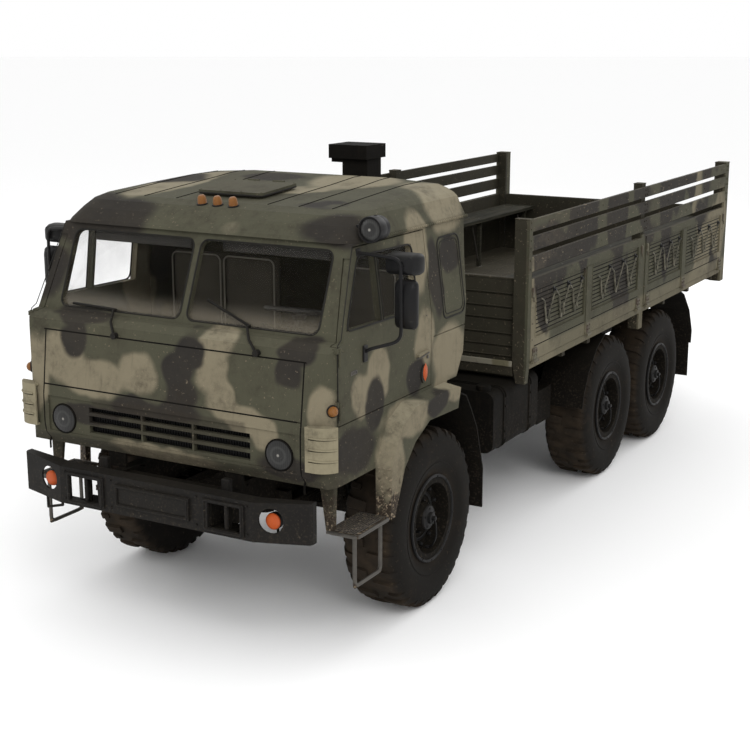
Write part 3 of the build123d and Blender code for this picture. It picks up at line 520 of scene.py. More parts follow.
# ---- cab steps
# Ribbed plate, worn bright, in an edge of bent rod. A rod stirrup hangs below it as the lowest
# foothold.
steel = Finish("worn_steel")
worn = steel.noise(20.0, 4)
STEEL = steel.coat(steel.mix(worn, (0.030, 0.028, 0.025), (0.12, 0.11, 0.095)), 0.35 + 0.4 * worn,
                   worn, 0.0006, Metallic=0.7)
tread_plate = Kit()
for s in (1, -1):
    for i in range(11):
        tread_plate.box(s * (1058 + i * 17), s * (1064 + i * 17), -1088, -730, 845, 850, 2)
    edge_bar = [(s * 1050, -1104, 836), (s * 1262, -1104, 836), (s * 1262, -716, 836), (s * 1050, -716, 836)]
    stirrup = [(s * 1205, -1040, 840), (s * 1205, -1040, 492), (s * 1205, -724, 492), (s * 1205, -724, 840)]
    tread_plate.pipe(soften(edge_bar, 30), 12).pipe(soften(stirrup, 40), 13)
tread_plate.done("step_treads", STEEL, "truck", "black_paint")

# ---- cab shell
# Pressed steel sheet, welded and sprayed matt in olive, tan and near-black with soft edges. The sun
# has faded it, and its upward faces are painted paler as painted light from above. Mud is thrown up
# from below, rain has run down it, and stones have chipped it.
OLIVE, TAN, DARK = (0.048, 0.047, 0.030), (0.165, 0.142, 0.095), (0.016, 0.014, 0.012)
# colour, then centre and half sizes in metres, y from the front axle
PATCHES = [
    ("dark", -0.75, -1.20, 1.87, 0.11, 0.3, 0.13), ("dark", -0.74, -1.15, 2.01, 0.24, 0.3, 0.06),
    ("dark", 0.16, -1.20, 1.88, 0.12, 0.3, 0.12), ("dark", 0.07, -1.28, 1.74, 0.12, 0.3, 0.12),
    ("dark", 0.12, -1.28, 1.60, 0.13, 0.3, 0.12), ("dark", 0.88, -1.28, 1.84, 0.10, 0.3, 0.10),
    ("dark", 0.91, -1.20, 1.96, 0.13, 0.3, 0.08), ("dark", -0.22, -1.28, 1.47, 0.26, 0.3, 0.07),
    ("dark", 0.10, -1.28, 1.49, 0.18, 0.3, 0.09), ("dark", 0.90, -1.28, 1.25, 0.22, 0.3, 0.08),
    ("dark", -0.60, -1.28, 1.38, 0.22, 0.3, 0.07), ("dark", -0.62, -0.95, 2.70, 0.27, 0.28, 0.30),
    ("dark", -0.95, -0.80, 2.60, 0.30, 0.26, 0.20), ("dark", 1.00, -0.95, 2.66, 0.34, 0.32, 0.14),
    ("dark", 0.68, -0.50, 2.78, 0.20, 0.16, 0.10), ("dark", -0.95, 0.10, 2.75, 0.30, 0.24, 0.3),
    ("dark", -0.25, 0.32, 2.78, 0.24, 0.16, 0.2), ("dark", 1.13, 0.14, 2.22, 0.25, 0.09, 0.27),
    ("dark", 1.13, 0.36, 2.34, 0.25, 0.13, 0.12), ("dark", 1.13, -0.31, 2.25, 0.25, 0.08, 0.25),
    ("dark", 1.17, -0.74, 1.56, 0.2, 0.11, 0.17), ("dark", 1.17, -0.19, 1.62, 0.2, 0.12, 0.13),
    ("dark", 1.17, -0.98, 1.33, 0.25, 0.26, 0.15), ("dark", 1.25, -0.02, 1.42, 0.12, 0.16, 0.08),
    ("dark", -1.15, -0.60, 1.75, 0.2, 0.30, 0.14), ("dark", -1.15, 0.20, 2.15, 0.2, 0.24, 0.18),
    ("dark", -1.15, -0.95, 2.20, 0.2, 0.15, 0.22), ("dark", -1.2, 0.10, 1.45, 0.2, 0.26, 0.1),
    ("tan", -0.84, -1.28, 1.74, 0.19, 0.3, 0.16), ("tan", -0.57, -1.28, 1.63, 0.25, 0.3, 0.13),
    ("tan", -0.24, -1.28, 1.70, 0.15, 0.3, 0.15), ("tan", 0.36, -1.20, 1.95, 0.14, 0.3, 0.12),
    ("tan", 0.33, -1.28, 1.79, 0.13, 0.3, 0.16), ("tan", 0.41, -1.28, 1.61, 0.12, 0.3, 0.13),
    ("tan", 0.56, -1.28, 1.52, 0.13, 0.3, 0.10), ("tan", -1.06, -1.25, 1.60, 0.12, 0.3, 0.26),
    ("tan", 1.10, -1.28, 1.63, 0.08, 0.2, 0.17), ("tan", 0.72, -1.28, 1.44, 0.11, 0.3, 0.12),
    ("tan", -0.05, -1.28, 1.20, 0.40, 0.3, 0.06), ("tan", -0.75, -0.10, 2.78, 0.18, 0.60, 0.2),
    ("tan", 0.30, -0.25, 2.79, 0.28, 0.36, 0.06), ("tan", 0.40, 0.35, 2.79, 0.34, 0.3, 0.1),
    ("tan", 0.22, -1.05, 2.70, 0.20, 0.22, 0.16), ("tan", 1.04, 0.38, 2.66, 0.3, 0.26, 0.20),
    ("tan", 1.12, -0.08, 2.42, 0.2, 0.15, 0.26), ("tan", 1.17, -0.68, 1.76, 0.2, 0.15, 0.17),
    ("tan", 1.17, -0.88, 1.66, 0.2, 0.13, 0.14), ("tan", 1.17, -0.06, 1.86, 0.2, 0.13, 0.22),
    ("tan", 1.17, 0.28, 1.68, 0.2, 0.26, 0.19), ("tan", 1.25, -0.45, 1.42, 0.14, 0.30, 0.12),
    ("tan", 1.25, -0.62, 1.16, 0.14, 0.14, 0.28), ("tan", 1.25, 0.20, 1.47, 0.14, 0.16, 0.12),
    ("tan", -1.17, -0.95, 1.78, 0.2, 0.22, 0.18), ("tan", -1.17, -0.10, 2.00, 0.2, 0.2, 0.3),
    ("tan", -1.17, 0.35, 1.66, 0.2, 0.26, 0.16), ("tan", -1.25, -0.45, 1.40, 0.14, 0.30, 0.12),
    ("dark", 0.60, 0.68, 2.30, 0.30, 0.16, 0.24), ("dark", -0.62, 0.68, 1.92, 0.34, 0.16, 0.17),
    ("dark", -0.88, 0.68, 2.46, 0.20, 0.16, 0.14), ("tan", -0.30, 0.68, 2.32, 0.26, 0.16, 0.28),
    ("tan", 0.80, 0.68, 1.84, 0.28, 0.16, 0.20), ("tan", 0.12, 0.68, 1.74, 0.22, 0.16, 0.15),
]
camo = Finish("camouflage_paint")
# the sprayed edges wander by some centimetres
warp = camo.node("ShaderNodeVectorMath", {"operation": "SUBTRACT"},
                 {0: camo.noise(3.2, 2).at("Color"), 1: (0.5, 0.5, 0.5)})
place = camo.node("ShaderNodeVectorMath", {"operation": "MULTIPLY_ADD"},
                  {0: warp, 1: (0.16, 0.16, 0.16), 2: camo.point})
# how far the nearest patch of each colour is, in its own half sizes; patches that meet run together
masks = {"dark": 4.0, "tan": 4.0}
for tone, x, y, z, rx, ry, rz in PATCHES:
    near = camo.node("ShaderNodeVectorMath", {"operation": "MULTIPLY_ADD"},
                     {0: place, 1: (1 / rx, 1 / ry, 1 / rz), 2: (-x / rx, -(y + FRONT_AXLE) / ry, -z / rz)})
    far = camo.node("ShaderNodeVectorMath", {"operation": "LENGTH"}, {0: near}).at("Value")
    masks[tone] = camo.math("SMOOTH_MIN", masks[tone], far, 0.35)
# faces that look up are painted paler: painted light from above, and the sun's fading
top_light_and_fade = camo.upward().step(0.1, 0.9)
olive, tan = camo.mix(top_light_and_fade, OLIVE, (0.058, 0.057, 0.037)), camo.mix(top_light_and_fade, TAN, (0.215, 0.190, 0.130))
base = camo.mix(1 - masks["tan"].step(0.82, 1.14), olive, tan)
base = camo.mix(1 - masks["dark"].step(0.80, 1.12), base, DARK)
# dark road dirt lies along the front's foot, and the grille's bars are painted darker as painted shade
under = (1 - camo.z.step(1.12, 1.30)) * (1 - camo.y.step(-3.62, -3.52))
grille_shade = camo.z.step(1.29, 1.31) * (1 - camo.z.step(1.49, 1.51))
grille_shade = grille_shade * (1 - (camo.x * camo.x).step(0.33, 0.37)) * (1 - camo.y.step(-3.7, -3.6))
# one dark colour serves the dirt at the foot and the painted shade on the grille
base = camo.mix((under * 0.6 | grille_shade * 0.5) & 1.0, base, (0.018, 0.014, 0.010))
CAMO = camo.coat(*weathered(camo, base, 0.10, 1.0, 1.0), 0.0012, Specular_IOR_Level=0.16)
paint(CAMO, "cab_front", "cab_rear", "cab_floor", "cab_roof", "front_fenders", "door_left", "door_right",
      "cab_steps")

# ---- grille and corner vents
# Behind the grille's slots is the radiator core, thin upright fins on a dark back. The corner vents
# are painted pressings with three rolled lips each, and a black sheet behind their slots is painted shade.
core = Kit()
core.box(-636, 636, -1222, -1216, 1252, 1446)
for i in range(64):
    x = -630 + i * 20
    core.box(x - 2, x + 2, -1230, -1220, 1254, 1444, 1)
core.done("radiator_core", SMOOTH_BLACK, "truck", "black_paint")
beige = Finish("beige_paint")
BEIGE = beige.coat(*weathered(beige, (0.205, 0.180, 0.118), 0.3, 0.9, 1.0), 0.001, Specular_IOR_Level=0.2)
paint(BEIGE, "corner_vents")
louvres, dark = Kit(), Kit()
for s in (-1, 1):
    # black sheets behind each vent's slots, painted shade
    dark.box(s * 1044, s * 1160, -1252, -1247, 1282, 1528, 1)
    dark.box(s * 1150, s * 1200, -1236, -1229, 1282, 1528, 1)
    for z in (1343, 1411, 1479):
        lip = [(s * 1052, -1312, z)]
        for k in range(9):
            a = k * 0.148
            lip.append((s * (1084 + 130 * math.sin(a)), -1182 - 130 * math.cos(a), z - 5 * math.sin(a)))
        louvres.pipe(lip, 7, sides=8)
louvres.done("vent_lips", BEIGE, "truck", "beige_plastic")
dark.done("vent_shade_backs", CHASSIS, "truck", "dark_plastic")

# ---- front lid
# The lid below the windscreen is folded sheet. Its edges meet the cab in open gaps, and a dark rod
# along each gap is painted shade.


def on_front(x, z, out):
    # a point on the cab's front sheet, moved out from it
    hit, where, _, _ = nodes["cab_front"].ray_cast(Vector((x / 1000, -6.0, z / 1000)), Vector((0, 1, 0)))
    return Vector((x, ((where.y - FRONT_AXLE) * 1000 if hit else -1240) - out, z))


LID_EDGES = ((1900.5, 998), (1548.5, 978))  # height and half length of the edges that lie level
LID_SIDE = 983.5
gap_shade_rods = Kit()
# dark rods along the lid's gaps, painted shade
for z, half in LID_EDGES:
    gap_shade_rods.pipe([on_front(x, z, 5) for x in range(-half, half + 1, 28)], 6.5, sides=8)
for s in (-1, 1):
    gap_shade_rods.pipe([on_front(s * LID_SIDE, z, 5) for z in range(1106, 1899, 24)], 6.5, sides=8)
gap_shade_rods.done("lid_gap_shade", CHASSIS, "truck", "dark_plastic")

# ---- roof rail and seams
# A rolled bead runs along each edge of the pressed steel roof, held by small clips. Sealed seams run
# back along the roof.
EAVE_Z = 2556
rail = Kit()
for s in (-1, 1):
    rail.pipe([(s * 1104, y, EAVE_Z) for y in range(-760, 641, 50)], 8)
    for y in range(-740, 640, 26):
        rail.lathe((s * 1106, y, EAVE_Z), (0, 1, 0), [(0, 0), (0, 10.5), (9, 10.5), (9, 0)], 8)
rail.done("drip_rail", CAMO, "truck", "camouflage_paint")


def on_roof(x, y):
    # a point on top of the roof's sheet
    above = Vector((x / 1000, y / 1000 + FRONT_AXLE, 4.0))
    hit, where, _, _ = nodes["cab_roof"].ray_cast(above, Vector((0, 0, -1)))
    return Vector((x, y, where.z * 1000 if hit else 2600))


SEAMS_X = (-880, -640, -380, 330, 560, 800)
seams = Kit()
for x in SEAMS_X:
    seams.pipe([on_roof(x, y) + Vector((0, 0, 0.5)) for y in range(-600, 561, 40)], 3.5, sides=8)
seams.done("roof_seams", CHASSIS, "truck", "camouflage_paint")

# ---- roof hatch
# A flat steel lid with screws along its edges and two barrel hinges. It closes on a black rubber
# seal.
HATCH = (-55, -255, 2756)  # its middle, on the roof
ROOF_RISE = 0.0664  # towards the rear, as a slope


def on_hatch(a, b, up):
    # a and b run across and back from the hatch's middle
    return Vector((HATCH[0] + a, HATCH[1] + b, HATCH[2] + up + b * ROOF_RISE))


plain = Finish("plain_olive_paint")
PLAIN = plain.coat(*weathered(plain, (0.050, 0.050, 0.033), 0.5, 0.6, 0.8), 0.001, Specular_IOR_Level=0.15)
paint(PLAIN, "roof_hatch")
black_rubber = Finish("black_rubber")
dusty = black_rubber.mix(black_rubber.noise(9.0, 3), (0.006, 0.006, 0.006), (0.022, 0.020, 0.016))
SEAL = black_rubber.coat(dusty, 0.7, black_rubber.noise(80.0, 2), 0.0003, Specular_IOR_Level=0.15)
hatch = Kit()
hatch.pipe(rounded(-250, 250, -210, 210, 30, lambda a, b: on_hatch(a, b, 0)), 8, True)
hatch.done("hatch_seal", SEAL, "roof_hatch", "dark_plastic")
lid = Kit()
lid.bolts([on_hatch(a, b, 20) for a in (-235, -80, 80, 235) for b in (-195, 195)], (0, -0.066, 1), 6, 3, 10)
lid.pipe([(-200, -38, 2790), (-110, -38, 2790)], 9).pipe([(0, -38, 2790), (90, -38, 2790)], 9)
lid.done("hatch_hinges", PLAIN, "roof_hatch", "camouflage_paint")

# ---- windscreen
# Toughened panes with a brown film of dust, wiped in arcs by the wiper blades. Black rubber channel
# holds each pane in its opening, and a thin bead fills the channel.
pane = Finish("window_glass")
WIPER_PIVOTS = ((-0.412, 1.915), (0.657, 1.924))  # x and z in metres
film = pane.noise(1.3, 4).step(0.35, 0.75)
specks = pane.noise(55.0, 3, 0.6).step(0.62, 0.72)
# dust gathers along the windscreen's foot
low = (1 - pane.z.step(2.03, 2.17)) * (1 - (pane.x * pane.x).step(1.02, 1.10))
# a round field about each wiper pivot is clean, with faint rings in the dust beyond it
swept = []
for px, pz in WIPER_PIVOTS:
    reach = pane.from_point(px, pz)
    rings = pane.math("PINGPONG", reach, 0.035) * 12 - 0.2
    swept.append((1 - reach.step(0.55, 0.57)) | rings * 0.6)
clean = (swept[0] | swept[1]) & 1.0
grime = ((film * 0.16 + specks * 0.08) * (1 - 0.7 * clean) + low * 0.50) & 1.0
GLASS = pane.coat(pane.mix(low, (0.060, 0.053, 0.040), (0.155, 0.135, 0.100)), 0.08 + 0.2 * film,
                  Alpha=0.02 + 0.75 * grime, Specular_IOR_Level=0.25)
paint(GLASS, "windshield", "door_glass_left", "door_glass_right")
paint(BLACK, "wipers")


SCREEN_FOOT = (-1081, 2030)  # y and z of the panes' foot
SCREEN_LEAN, SCREEN_RISE = 225, 546  # how far the panes lean back over their height
SCREEN_NORMAL = (-0.926, 0.378)  # y and z


def on_screen(out):
    # turns (across, height) into a place on the windscreen, moved out from it
    y, z = SCREEN_FOOT
    ny, nz = SCREEN_NORMAL
    return lambda a, b: Vector((a, y + (b - z) * SCREEN_LEAN / SCREEN_RISE + out * ny, b + out * nz))


seal = Kit()
for s in (-1, 1):
    a0, a1 = sorted((s * 505 - 482, s * 505 + 482))
    seal.pipe(rounded(a0, a1, 2031, 2511, 55, on_screen(1)), 4, True)
    seal.pipe(rounded(a0 + 7, a1 - 7, 2038, 2504, 50, on_screen(2)), 2, True, 6)
seal.done("windshield_seal", SEAL, "truck", "dark_plastic")

# ---- lamps
# Headlamps with fluted glass sit in a dark ring, and the spot lamp has a painted shell and rim.
# Marker, corner and bumper lamps are moulded lenses on small bases.
HEADLAMP, SPOT_LAMP = (827, -1276, 1332), (1180, -800, 2636)  # the middles of their fronts
lamp = Finish("lamp_glass")
flutes = lamp.node("ShaderNodeTexWave", {"bands_direction": "X"},
                   {"Vector": lamp.point, "Scale": 24.0, "Distortion": 0.0})
# a pale painted highlight in the middle of each lamp, with a fainter painted ring round it
hx, hz = HEADLAMP[0] / 1000, HEADLAMP[2] / 1000
highlight_reach = lamp.from_point(-hx, hz) & lamp.from_point(hx, hz)
highlight_reach = highlight_reach & lamp.from_point(SPOT_LAMP[0] / 1000, SPOT_LAMP[2] / 1000)
glass = lamp.mix(flutes.at("Color"), (0.010, 0.010, 0.0095), (0.018, 0.0175, 0.0165))
glass = lamp.mix(highlight_reach.step(0.036, 0.046) * (1 - highlight_reach.step(0.050, 0.062)) * 0.4, glass, (0.045, 0.045, 0.042))
glass = lamp.mix(1 - highlight_reach.step(0.004, 0.012), glass, (0.20, 0.19, 0.17))
LAMP = lamp.coat(glass, 0.12 + 0.25 * lamp.noise(12.0, 3), flutes.at("Color"), 0.0004,
                 Specular_IOR_Level=0.25)
paint(SMOOTH_BLACK, "headlamps")


def lens(name, deep, pale):
    skin = Finish(name)
    ribs = skin.node("ShaderNodeTexWave", {"bands_direction": "Z"}, {"Vector": skin.point, "Scale": 60.0})
    ribs = ribs.at("Color")
    return skin.coat(skin.mix(ribs, deep, pale), 0.25 + 0.3 * skin.noise(15.0, 3), ribs, 0.0012,
                     Specular_IOR_Level=0.3)


AMBER = lens("amber_lens", (0.13, 0.048, 0.008), (0.24, 0.095, 0.018))
ORANGE = lens("orange_lens", (0.30, 0.036, 0.003), (0.46, 0.085, 0.008))
paint(AMBER, "amber_lamps")
fronts, rims, spot_rim = Kit(), Kit(), Kit()
x, y, z = HEADLAMP
for s in (-1, 1):
    fronts.lathe((s * x, y, z), (0, -1, 0), [(-4, 94), (2, 92), (7, 70), (11, 40), (12, 0)], 48)
    rims.lathe((s * x, y + 2, z), (0, -1, 0), [(-14, 90), (-14, 99), (3, 99), (8, 95), (8, 90), (0, 88)], 48)
fronts.lathe(SPOT_LAMP, (0, -1, 0), [(-6, 66), (2, 64), (9, 44), (13, 20), (14, 0)], 40)
fronts.done("headlamp_glass", LAMP, "truck", "lamp_glass")
rims.done("headlamp_ring", CHASSIS, "truck", "dark_plastic")
spot_rim.lathe(SPOT_LAMP, (0, -1, 0), [(4, 79), (9, 79), (12, 76), (10, 72), (4, 72)], 56)
spot_rim.done("spot_lamp_rim", SMOOTH_BLACK, "truck", "lamp_glass")
shell = Kit()
x, y, z = SPOT_LAMP
shell.lathe((x, y - 6, z), (0, 1, 0),
            [(0, 68), (0, 78), (30, 80), (80, 74), (115, 61), (142, 42), (152, 19), (153, 0)], 48)
shell.box(1096, 1128, -752, -722, 2616, 2660, 5)
shell.bolts([(x, y + 60, z - 74), (x, y + 60, z + 72)], (0, 0, 1), 10, 8)
shell.done("spot_lamp_shell", SMOOTH_BLACK, "truck", "black_paint")
amber, bases, orange = Kit(), Kit(), Kit()
for x in (-120, 0, 120):
    amber.lathe((x, -672, 2702), (0, -0.2, 1), [(0, 30), (14, 30), (44, 25), (54, 17), (57, 0)], 24)
    bases.lathe((x, -672, 2692), (0, -0.2, 1), [(0, 38), (12, 37), (14, 31)], 24)
for s in (-1, 1):
    corner, out = (s * 1150, -1196, 1624), (s * 0.8, -0.6, 0)
    amber.lathe(corner, out, [(-14, 32), (12, 32), (26, 26), (36, 14), (39, 0)], 24)
    bases.lathe(corner, out, [(-16, 38), (8, 38), (11, 33)], 24)
    orange.lathe((s * 853, -1392, 958), (0, -1, 0), [(-40, 49), (0, 50), (9, 42), (14, 26), (16, 0)], 32)
    bases.lathe((s * 853, -1340, 958), (0, -1, 0), [(0, 0), (0, 40), (14, 52), (40, 53), (44, 51)], 32)
amber.done("marker_lenses", AMBER, "truck", "amber_lens", ("amber_lamps",))
orange.done("bumper_lenses", ORANGE, "truck", "amber_lens")
bases.done("lamp_bases", SMOOTH_BLACK, "truck", "black_paint")

# ---- door and sleeper seals
# Black rubber runs round each door and its panes, and round the sleeper's side window. The cab's
# side leans in above the waist, and the rubber follows it.
CAB_SIDE, WAIST_Z = 1165, 2000
LEAN, LEAN_RISE = 73, 552


def side_x(z):
    # the cab's side surface leans in above the waist
    return CAB_SIDE - max(0, z - WAIST_Z) * LEAN / LEAN_RISE


for s, label in HANDS:
    wall = lambda y, z: Vector((s * (side_x(z) + 1), y, z))
    door_seal = Kit()
    corners = [wall(-1046, 2066), wall(-826, 2476), wall(-150, 2466), wall(-150, 2050)]
    foot = wall(-598, 2058)
    loop = soften([foot, *corners, foot], 60)
    door_seal.pipe(loop[:-1], 6, True)
    door_seal.pipe([wall(-622, 2062), wall(-622, 2472)], 5).pipe([wall(-598, 2062), wall(-598, 2472)], 5)
    door_seal.pipe([wall(-1158, 1545), wall(-1158, 2006), wall(-1112, 2032), wall(-870, 2536)], 3)
    door_seal.done("door_seal_" + label, SEAL, "door_" + label, "dark_plastic")
    sleeper_seal = Kit()
    sleeper_seal.pipe(rounded(196, 510, 1925, 2455, 55, wall), 6, True)
    sleeper_seal.pipe(rounded(222, 484, 1951, 2429, 40, wall), 3, True)
    sleeper_seal.done("sleeper_seal_" + label, SEAL, "truck", "dark_plastic")

# ---- door fittings
# A pressed bar handle, a lock barrel, a slotted vent plate and screws, all of worn steel. An orange
# reflector is glued on below the handle.
for s, label in HANDS:
    handle = Kit()
    out = s * CAB_SIDE
    bar = [(out, -176, 1733), (out + s * 22, -166, 1737), (out + s * 24, -50, 1752), (out, -40, 1752)]
    handle.pipe(soften(bar, 14), 8, sides=12, flat=0.6)
    handle.bolts([(out, -28, 1716)], (s, 0, 0), 11, 7, 16)
    handle.box(out, out + s * 4, -1012, -936, 1796, 1822)
    for y in (-1000, -984, -968, -952):
        handle.box(out + s * 3, out + s * 7, y, y + 8, 1801, 1817, 1)
    screws = ((-1135, 1990), (-1135, 1560), (-40, 1990), (-40, 1560), (-60, 1660), (-60, 1588))
    handle.bolts([(out, y, z) for y, z in screws], (s, 0, 0), 5, 3, 10)
    handle.done("door_handle_" + label, STEEL, "door_" + label, "black_paint")
    reflector = Kit()
    outline = [(0, 62), (26, 30), (32, 0), (26, -30), (0, -62), (-26, -30), (-32, 0), (-26, 30)]
    ring = [(out + s * 10, -71 + a, 1624 + b) for a, b in outline]
    top = [(out + s * 16, -71 + a * 0.6, 1624 + b * 0.7) for a, b in outline]
    sides = [[i, (i + 1) % 8, 8 + (i + 1) % 8, 8 + i] for i in range(8)] + [list(range(8, 16))]
    reflector.add(ring + top, [f if s > 0 else f[::-1] for f in sides])
    reflector.done("door_reflector_" + label, ORANGE, "door_" + label, "amber_lens")

# ---- mirrors
# Each door carries a tube arm on two clamps, with a main mirror below and a wide-angle one above.
# The housings are moulded, deeper at the middle, and the glass faces back.
silver = Finish("mirror_glass")
SILVER = silver.coat((0.62, 0.64, 0.65), 0.05 + 0.1 * silver.noise(4.0, 3), Metallic=1.0)
# middle, half sizes, depth and the face's y, of the main and of the wide-angle housing
HOUSINGS = ((1366, 2191, 74, 151, 66, -676), (1326, 2425, 114, 65, 140, -600))
ARM = [(1092, -806, 2496), (1357, -752, 2470), (1362, -752, 1978), (1204, -848, 1932), (1166, -848, 1908)]
for s, label in HANDS:
    housing = Kit()
    arm = soften([(s * x, y, z) for x, y, z in ARM], 60)
    housing.pipe(arm, 11)
    housing.box(s * CAB_SIDE, s * 1178, -872, -824, 1850, 1952, 4)
    housing.box(s * 1090, s * 1104, -832, -780, 2470, 2522, 4)
    glass = Kit()
    for x, z, w, h, depth, face_y in HOUSINGS:
        rings = []
        for t, k in ((0.0, 0.97), (0.18, 1.0), (0.55, 0.95), (0.85, 0.78), (1.0, 0.42)):
            rings.append(rounded(s * x - w * k, s * x + w * k, z - h * k, z + h * k, 34 * k,
                                 lambda a, b: Vector((a, face_y - depth * t, b)), 4))
        n = len(rings[0])
        verts = [p for ring in rings for p in ring]
        faces = [[i * n + k, i * n + (k + 1) % n, (i + 1) * n + (k + 1) % n, (i + 1) * n + k]
                 for i in range(len(rings) - 1) for k in range(n)]
        ends = [list(range(n)), list(range(len(verts) - n, len(verts)))[::-1]]
        housing.add(verts, [f[::-1] for f in faces] + ends)
        pane_loop = rounded(s * x - w * 0.88, s * x + w * 0.88, z - h * 0.92, z + h * 0.92, 28,
                            lambda a, b: Vector((a, face_y + 2.5, b)), 4)
        glass.add(pane_loop, [list(range(len(pane_loop)))])
        housing.pipe([(s * 1360, -752, z), (s * 1360, -700, z)], 13)
    housing.done("mirror_housing_" + label, SMOOTH_BLACK, "door_" + label, "black_paint",
                 ("mirror_" + label,))
    glass.done("mirror_face_" + label, SILVER, "door_" + label, "window_glass")
paint(BLACK, "mirror_left", "mirror_right")

# ---- seats and bunk
# Cloth over foam, with sewn channels and pale piping, on steel boxes. The bunk's pad lies behind
# the seats.
cloth = Finish("seat_cloth")
weave = cloth.noise(120.0, 2) * 0.4 + cloth.noise(5.0, 3) * 0.6
CLOTH = cloth.coat(cloth.mix(cloth.noise(5.0, 4), (0.060, 0.054, 0.043), (0.105, 0.094, 0.074)), 0.9,
                   weave, 0.0008, Specular_IOR_Level=0.1)
WELT = Finish("seat_welt").coat((0.27, 0.25, 0.21), 0.8, Specular_IOR_Level=0.1)


def cushion(name, x0, x1, y0, y1, z0, z1, crown, channels, upright):
    # a crowned pad: a closed grid whose faces swell and whose sides pull in, with sewn channels
    n, m, verts, faces = 24, 18, [], []
    cx, cy, cz = (x0 + x1) / 2, (y0 + y1) / 2, (z0 + z1) / 2
    w, d = (x1 - x0) / 2, ((z1 - z0) if upright else (y1 - y0)) / 2
    t = ((y1 - y0) if upright else (z1 - z0)) / 2
    for face in (1, -1):
        for i in range(n + 1):
            for j in range(m + 1):
                u, v = -1 + 2 * i / n, -1 + 2 * j / m
                edge = (1 - u ** 8) ** 0.5 * (1 - v ** 8) ** 0.5
                groove = max(math.exp(-((v - c) / 0.035) ** 2) for c in channels) * 7 * edge
                swell = crown * (1 - u * u) * (1 - v * v) if face > 0 else 0
                h = 0.92 * t * edge + swell - groove
                pinch = 1 - 0.012 * (1 - abs(v)) * (abs(u) > 0.9)
                verts.append((cx + w * u * pinch, cy - face * h, cz + d * v) if upright else
                             (cx + w * u * pinch, cy + d * v, cz + face * h))
    row, half = m + 1, (n + 1) * (m + 1)
    for i in range(n):
        for j in range(m):
            a = i * row + j
            quad = [a, a + row, a + row + 1, a + 1]
            faces += [quad, [half + q for q in quad[::-1]]]
    border = [i * row for i in range(n)] + [n * row + j for j in range(m)]
    border += [i * row + m for i in range(n, 0, -1)] + list(range(m, 0, -1))
    for a, b in zip(border, border[1:] + border[:1]):
        faces.append([b, a, half + a, half + b])
    pad = Kit()
    pad.add(verts, faces)
    pad.done(name, CLOTH, "truck", "seat_cloth", ("seats",), 60)


welts = Kit()
for name, x0, x1 in (("driver", 390, 890), ("mate", -510, -60), ("outer", -960, -510)):
    cushion("seat_pad_" + name, x0 + 4, x1 - 4, -418, 60, 1642, 1752, 8, (-0.45, 0.0, 0.45), False)
    cushion("seat_back_" + name, x0 + 4, x1 - 4, 64, 176, 1660, 2246, 4, (-0.5, -0.1, 0.3), True)
    welts.pipe(rounded(x0 + 16, x1 - 16, 1680, 2236, 46, lambda a, b: Vector((a, 68, b))), 6, True, 8)
cushion("bunk_pad", -1076, 1076, 192, 406, 1604, 1726, 6, (0.0,), False)
welts.done("seat_welts", WELT, "truck", "seat_cloth")

# ---- dashboard and levers
# A moulded dash with a hooded instrument panel, three dials, pedals and sun visors. Two levers with
# round grips stand beside the driver's seat.
plastic = Finish("dark_plastic")
faded = plastic.mix(plastic.noise(6.0, 3), (0.014, 0.0135, 0.0125), (0.034, 0.031, 0.027))
PLASTIC = plastic.coat(faded, 0.6, plastic.noise(260.0, 2), 0.0003, Specular_IOR_Level=0.15)
paint(PLASTIC, "dashboard")
dash = Kit()
dash.box(430, 830, -1010, -868, 1940, 2004, 22).box(-200, 200, -900, -858, 1820, 1920, 10)
dash.pipe([(250, -640, 1560), (258, -560, 1900)], 11)
dash.lathe((258, -558, 1900), (0, 0.2, 1), [(0, 0), (0, 20), (20, 27), (42, 22), (50, 0)], 16)
dash.pipe([(200, -560, 1560), (196, -520, 1780)], 9)
dash.lathe((196, -518, 1780), (0, 0.2, 1), [(0, 0), (0, 14), (16, 19), (30, 14), (36, 0)], 16)
dash.box(170, 290, -700, -480, 1545, 1570, 8)
for x in (560, 620, 760):
    dash.box(x - 30, x + 30, -1010, -990, 1600, 1690, 6)
for s in (1, -1):
    dash.box(s * 120, s * 900, -800, -786, 2430, 2540, 6)
dash.done("dash_fittings", PLASTIC, "truck", "dark_plastic")
dials = Kit()
for x, r in ((520, 34), (620, 46), (730, 46)):
    dials.lathe((x, -868, 1972), (0, 1, 0.2), [(-2, r), (3, r), (3, r - 5), (-1, r - 6), (-1, 0)], 28)
dials.done("dials", SILVER, "truck", "dark_plastic")

# ---- steering wheel
# A thin moulded rim on three spokes, with a round boss over the end of the column.
wheel = Kit()
rise = Vector((0, 0.2, 0.98)).normalized()
ahead = rise.cross(Vector((1, 0, 0))).normalized()
hub = Vector((630, -715, 2085))
toward = lambda a: Vector((1, 0, 0)) * math.cos(a) + ahead * math.sin(a)
wheel.pipe([hub + toward(a) * 212 for a in round_the(48)], 14, True, 12)
for a in (0.35, 2.79, 4.71):
    wheel.pipe([hub - rise * 22, hub + toward(a) * 104 - rise * 16, hub + toward(a) * 208], 9, sides=10)
wheel.lathe(hub - rise * 58, rise, [(0, 0), (0, 30), (20, 46), (44, 50), (54, 40), (58, 0)], 28)
wheel.done("steering_wheel_rim", PLASTIC, "steering_wheel", "dark_plastic", ("steering_wheel",), 60)

